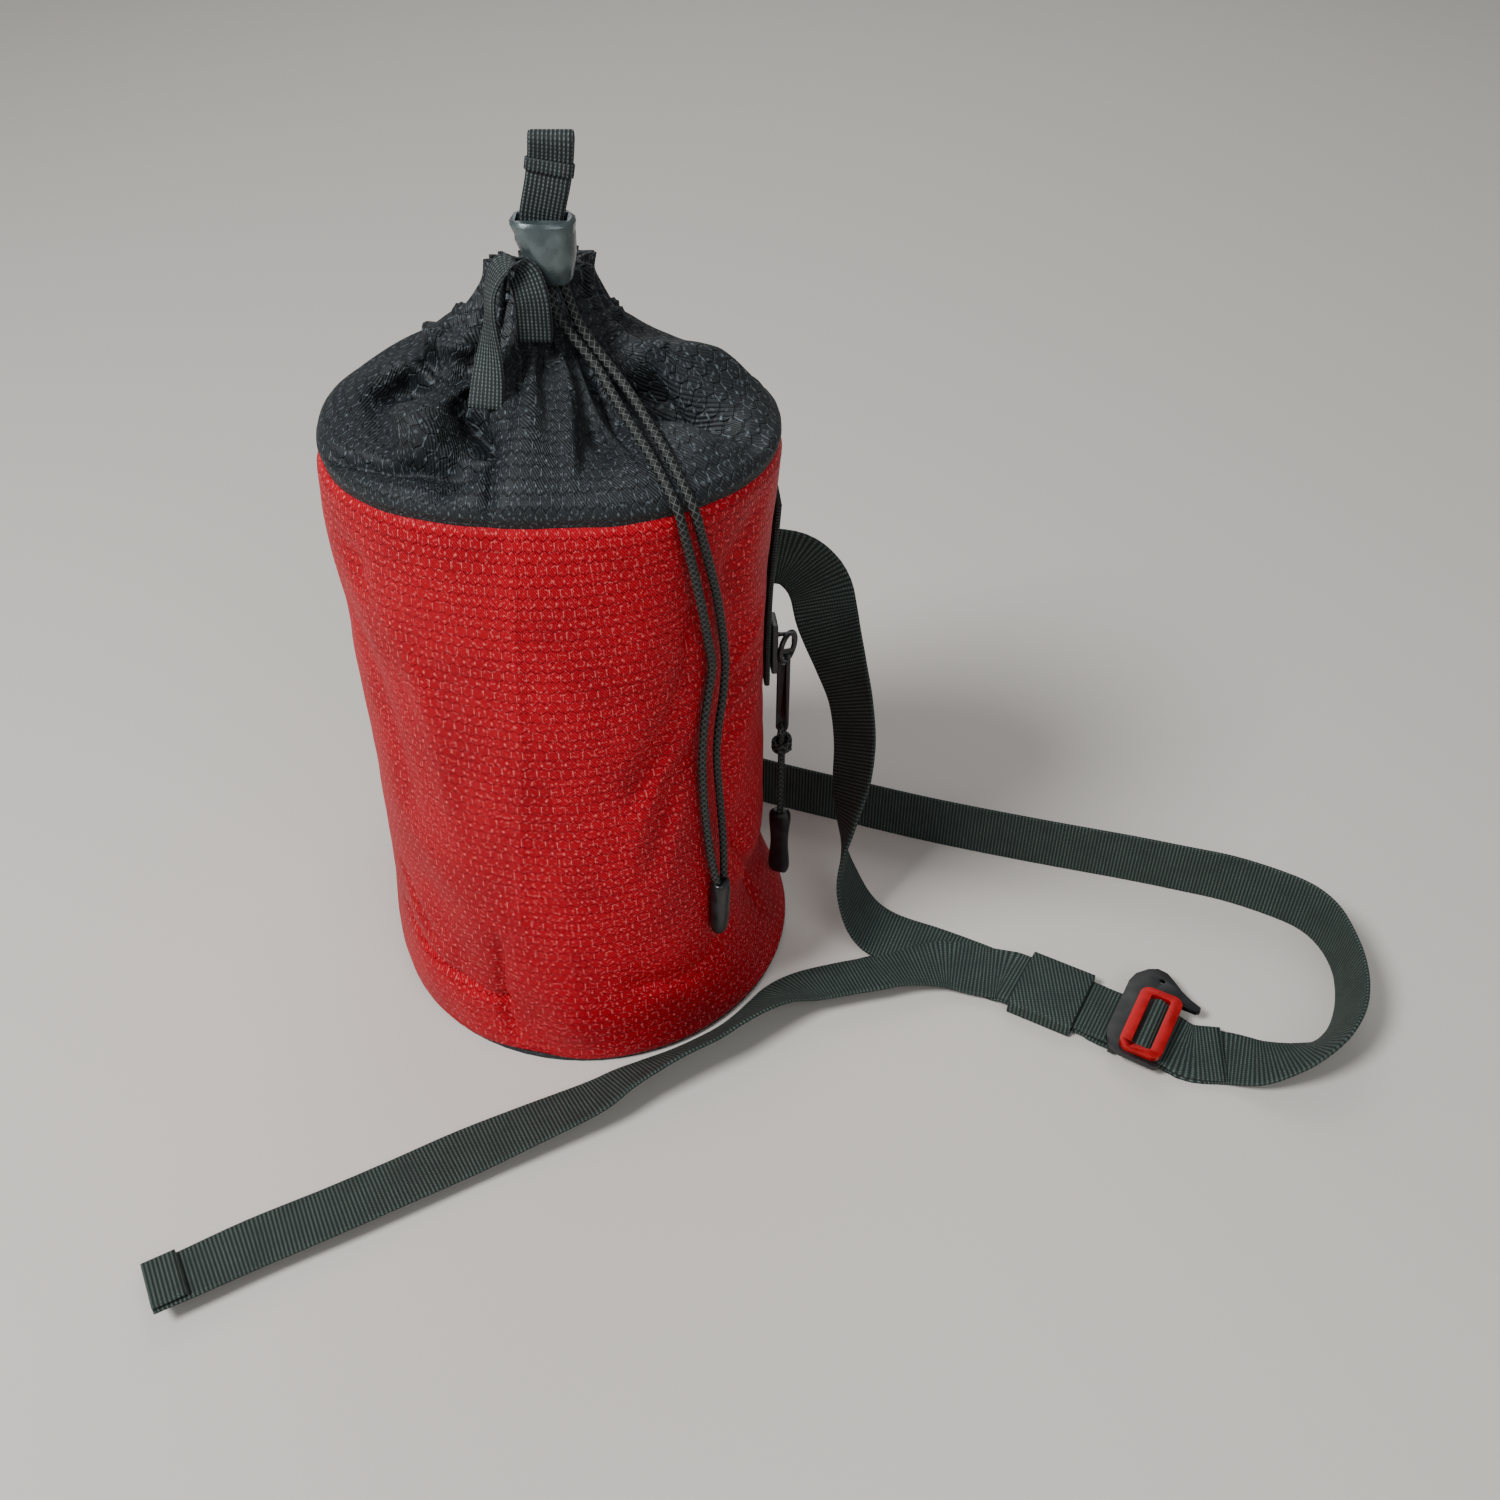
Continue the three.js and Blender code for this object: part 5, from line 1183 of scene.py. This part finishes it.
woven_copy("keeper_sleeve", "belt_keeper", BELT_WEB)
woven_copy("back_carrier", "belt_carrier", BLACK_CLOTH)
woven_copy("base_disc", "base_panel", BLACK_CLOTH)

# %% [markdown]
# ## Zip puller cord
# A thin cord is doubled through the eye of the link, and both strands go into the grip. It is made as
# the drawcord's tails are, with its bend at the link drawn by more points.

# %% Zip puller cord
PULLER_DIAMETER = 1.7
PULLER_SPACING = 0.8
ZIP_CORD_ROUTE = [
    (59.1, 1.4, 43.3), (59.2, 1.4, 55.0), (59.2, 1.4, 70.6), (59.2, 1.0, 75.2),
    (58.9, -0.2, 77.0), (59.3, 1.6, 78.4), (59.7, 3.1, 78.4), (60.2, 4.9, 77.0),
    (59.9, 3.7, 75.2), (59.8, 3.3, 70.6), (59.7, 3.3, 55.0), (59.6, 3.4, 43.3),
]
puller_cord, line_puller = make_cord(
    "puller_cord", ZIP_CORD_ROUTE, PULLER_DIAMETER, PULLER_SPACING, "zip_cord",
)

# %% [markdown]
# ## Puller knot
# Just under the link the two strands are held by a knot: a short length of the same cord, wound
# round both of them, with its two ends tucked in between. A true knot has hidden crossings that no
# one sees, so a coil with a slight wave is enough.

# %% Puller knot
KNOT_AXIS = (59.5, 2.4)
KNOT_FOOT, KNOT_HIGH, KNOT_TURNS, KNOT_RADIUS, KNOT_WAVE = 68.4, 4.2, 2.3, 2.3, 0.5
KNOT_POINTS, KNOT_SIDES, KNOT_SPACING = 40, 10, 0.6
turns = [2 * math.pi * KNOT_TURNS * k / KNOT_POINTS for k in range(KNOT_POINTS + 1)]
knot_route = [
    (
        KNOT_AXIS[0] + KNOT_RADIUS * math.cos(turn),
        KNOT_AXIS[1] + KNOT_RADIUS * math.sin(turn),
        KNOT_FOOT + KNOT_HIGH * turn / turns[-1] + KNOT_WAVE * math.sin(turn),
    )
    for turn in turns
]
knot_route = [(*KNOT_AXIS, KNOT_FOOT), *knot_route, (*KNOT_AXIS, KNOT_FOOT + KNOT_HIGH)]
knot_line = smooth_route([Vector(p) * MM for p in knot_route], KNOT_SPACING * MM)
knot_across = carried_across(knot_line, (0.1, 0.2, 1))
knot_section = round_section(PULLER_DIAMETER * MM / 2, KNOT_SIDES)
knot = sweep("puller_knot", knot_line, knot_across, knot_section)
knot.data.materials.append(CORD_BRAID)
finish_piece(knot)

# %% [markdown]
# ## Cord lengths
# A cord is flexible, and the length of each one is printed.

# %% Cord lengths
for name, line in (("left", line_left), ("right", line_right), ("puller", line_puller)):
    print("declared cord:", name, round(length_of(line) / MM, 1), "mm")

# %% [markdown]
# ## Floor
# A plain pale floor takes the shadows, as in a studio. It is stage and not part of the pouch.

# %% Floor
FLOOR_WIDE = 4
deselect()
bpy.ops.mesh.primitive_plane_add(size=FLOOR_WIDE, location=(0, 0, 0))
floor = bpy.context.object
floor.name = "floor"
# Matt card: no gloss of its own, so that the shadows of the belt stay soft and clear.
floor_material, floor_tree, floor_shader = new_material("matt grey-beige card", 0.75, 0.3)
floor_shader.inputs["Base Color"].default_value = linear("#CBC6C0")
floor.data.materials.append(floor_material)
print("floor", FLOOR_WIDE, "m wide")

# %% [markdown]
# ## Light
# One soft light from the upper left in front gives the shape and the shadow of the belt. A weaker one
# from the right opens the shadows, one from behind draws the outline of the cuff, and a pale sky
# fills the rest.


# %% Light
def soft_light(name, place, target, size, power):
    data = bpy.data.lights.new(name, "AREA")
    data.shape = "DISK"
    data.size = size
    data.energy = power
    lamp = bpy.data.objects.new(name, data)
    lamp.location = place
    aim = Vector(target) - Vector(place)
    lamp.rotation_euler = aim.to_track_quat("-Z", "Y").to_euler()
    bpy.context.scene.collection.objects.link(lamp)
    print(name, "of", power, "W")


soft_light("key light", (-0.55, -0.45, 1.0), (0, 0, 0.08), size=0.35, power=16)
soft_light("fill light", (0.5, -0.9, 0.9), (0, 0, 0.08), size=0.8, power=4)
soft_light("back light", (0.1, 1.0, 1.0), (0, 0, 0.1), size=0.9, power=4)
world = bpy.data.worlds.new("studio")
world.use_nodes = True
sky = world.node_tree.nodes["Background"]
sky.inputs["Color"].default_value = linear("#E9EAEC")
sky.inputs["Strength"].default_value = 0.3
bpy.context.scene.world = world
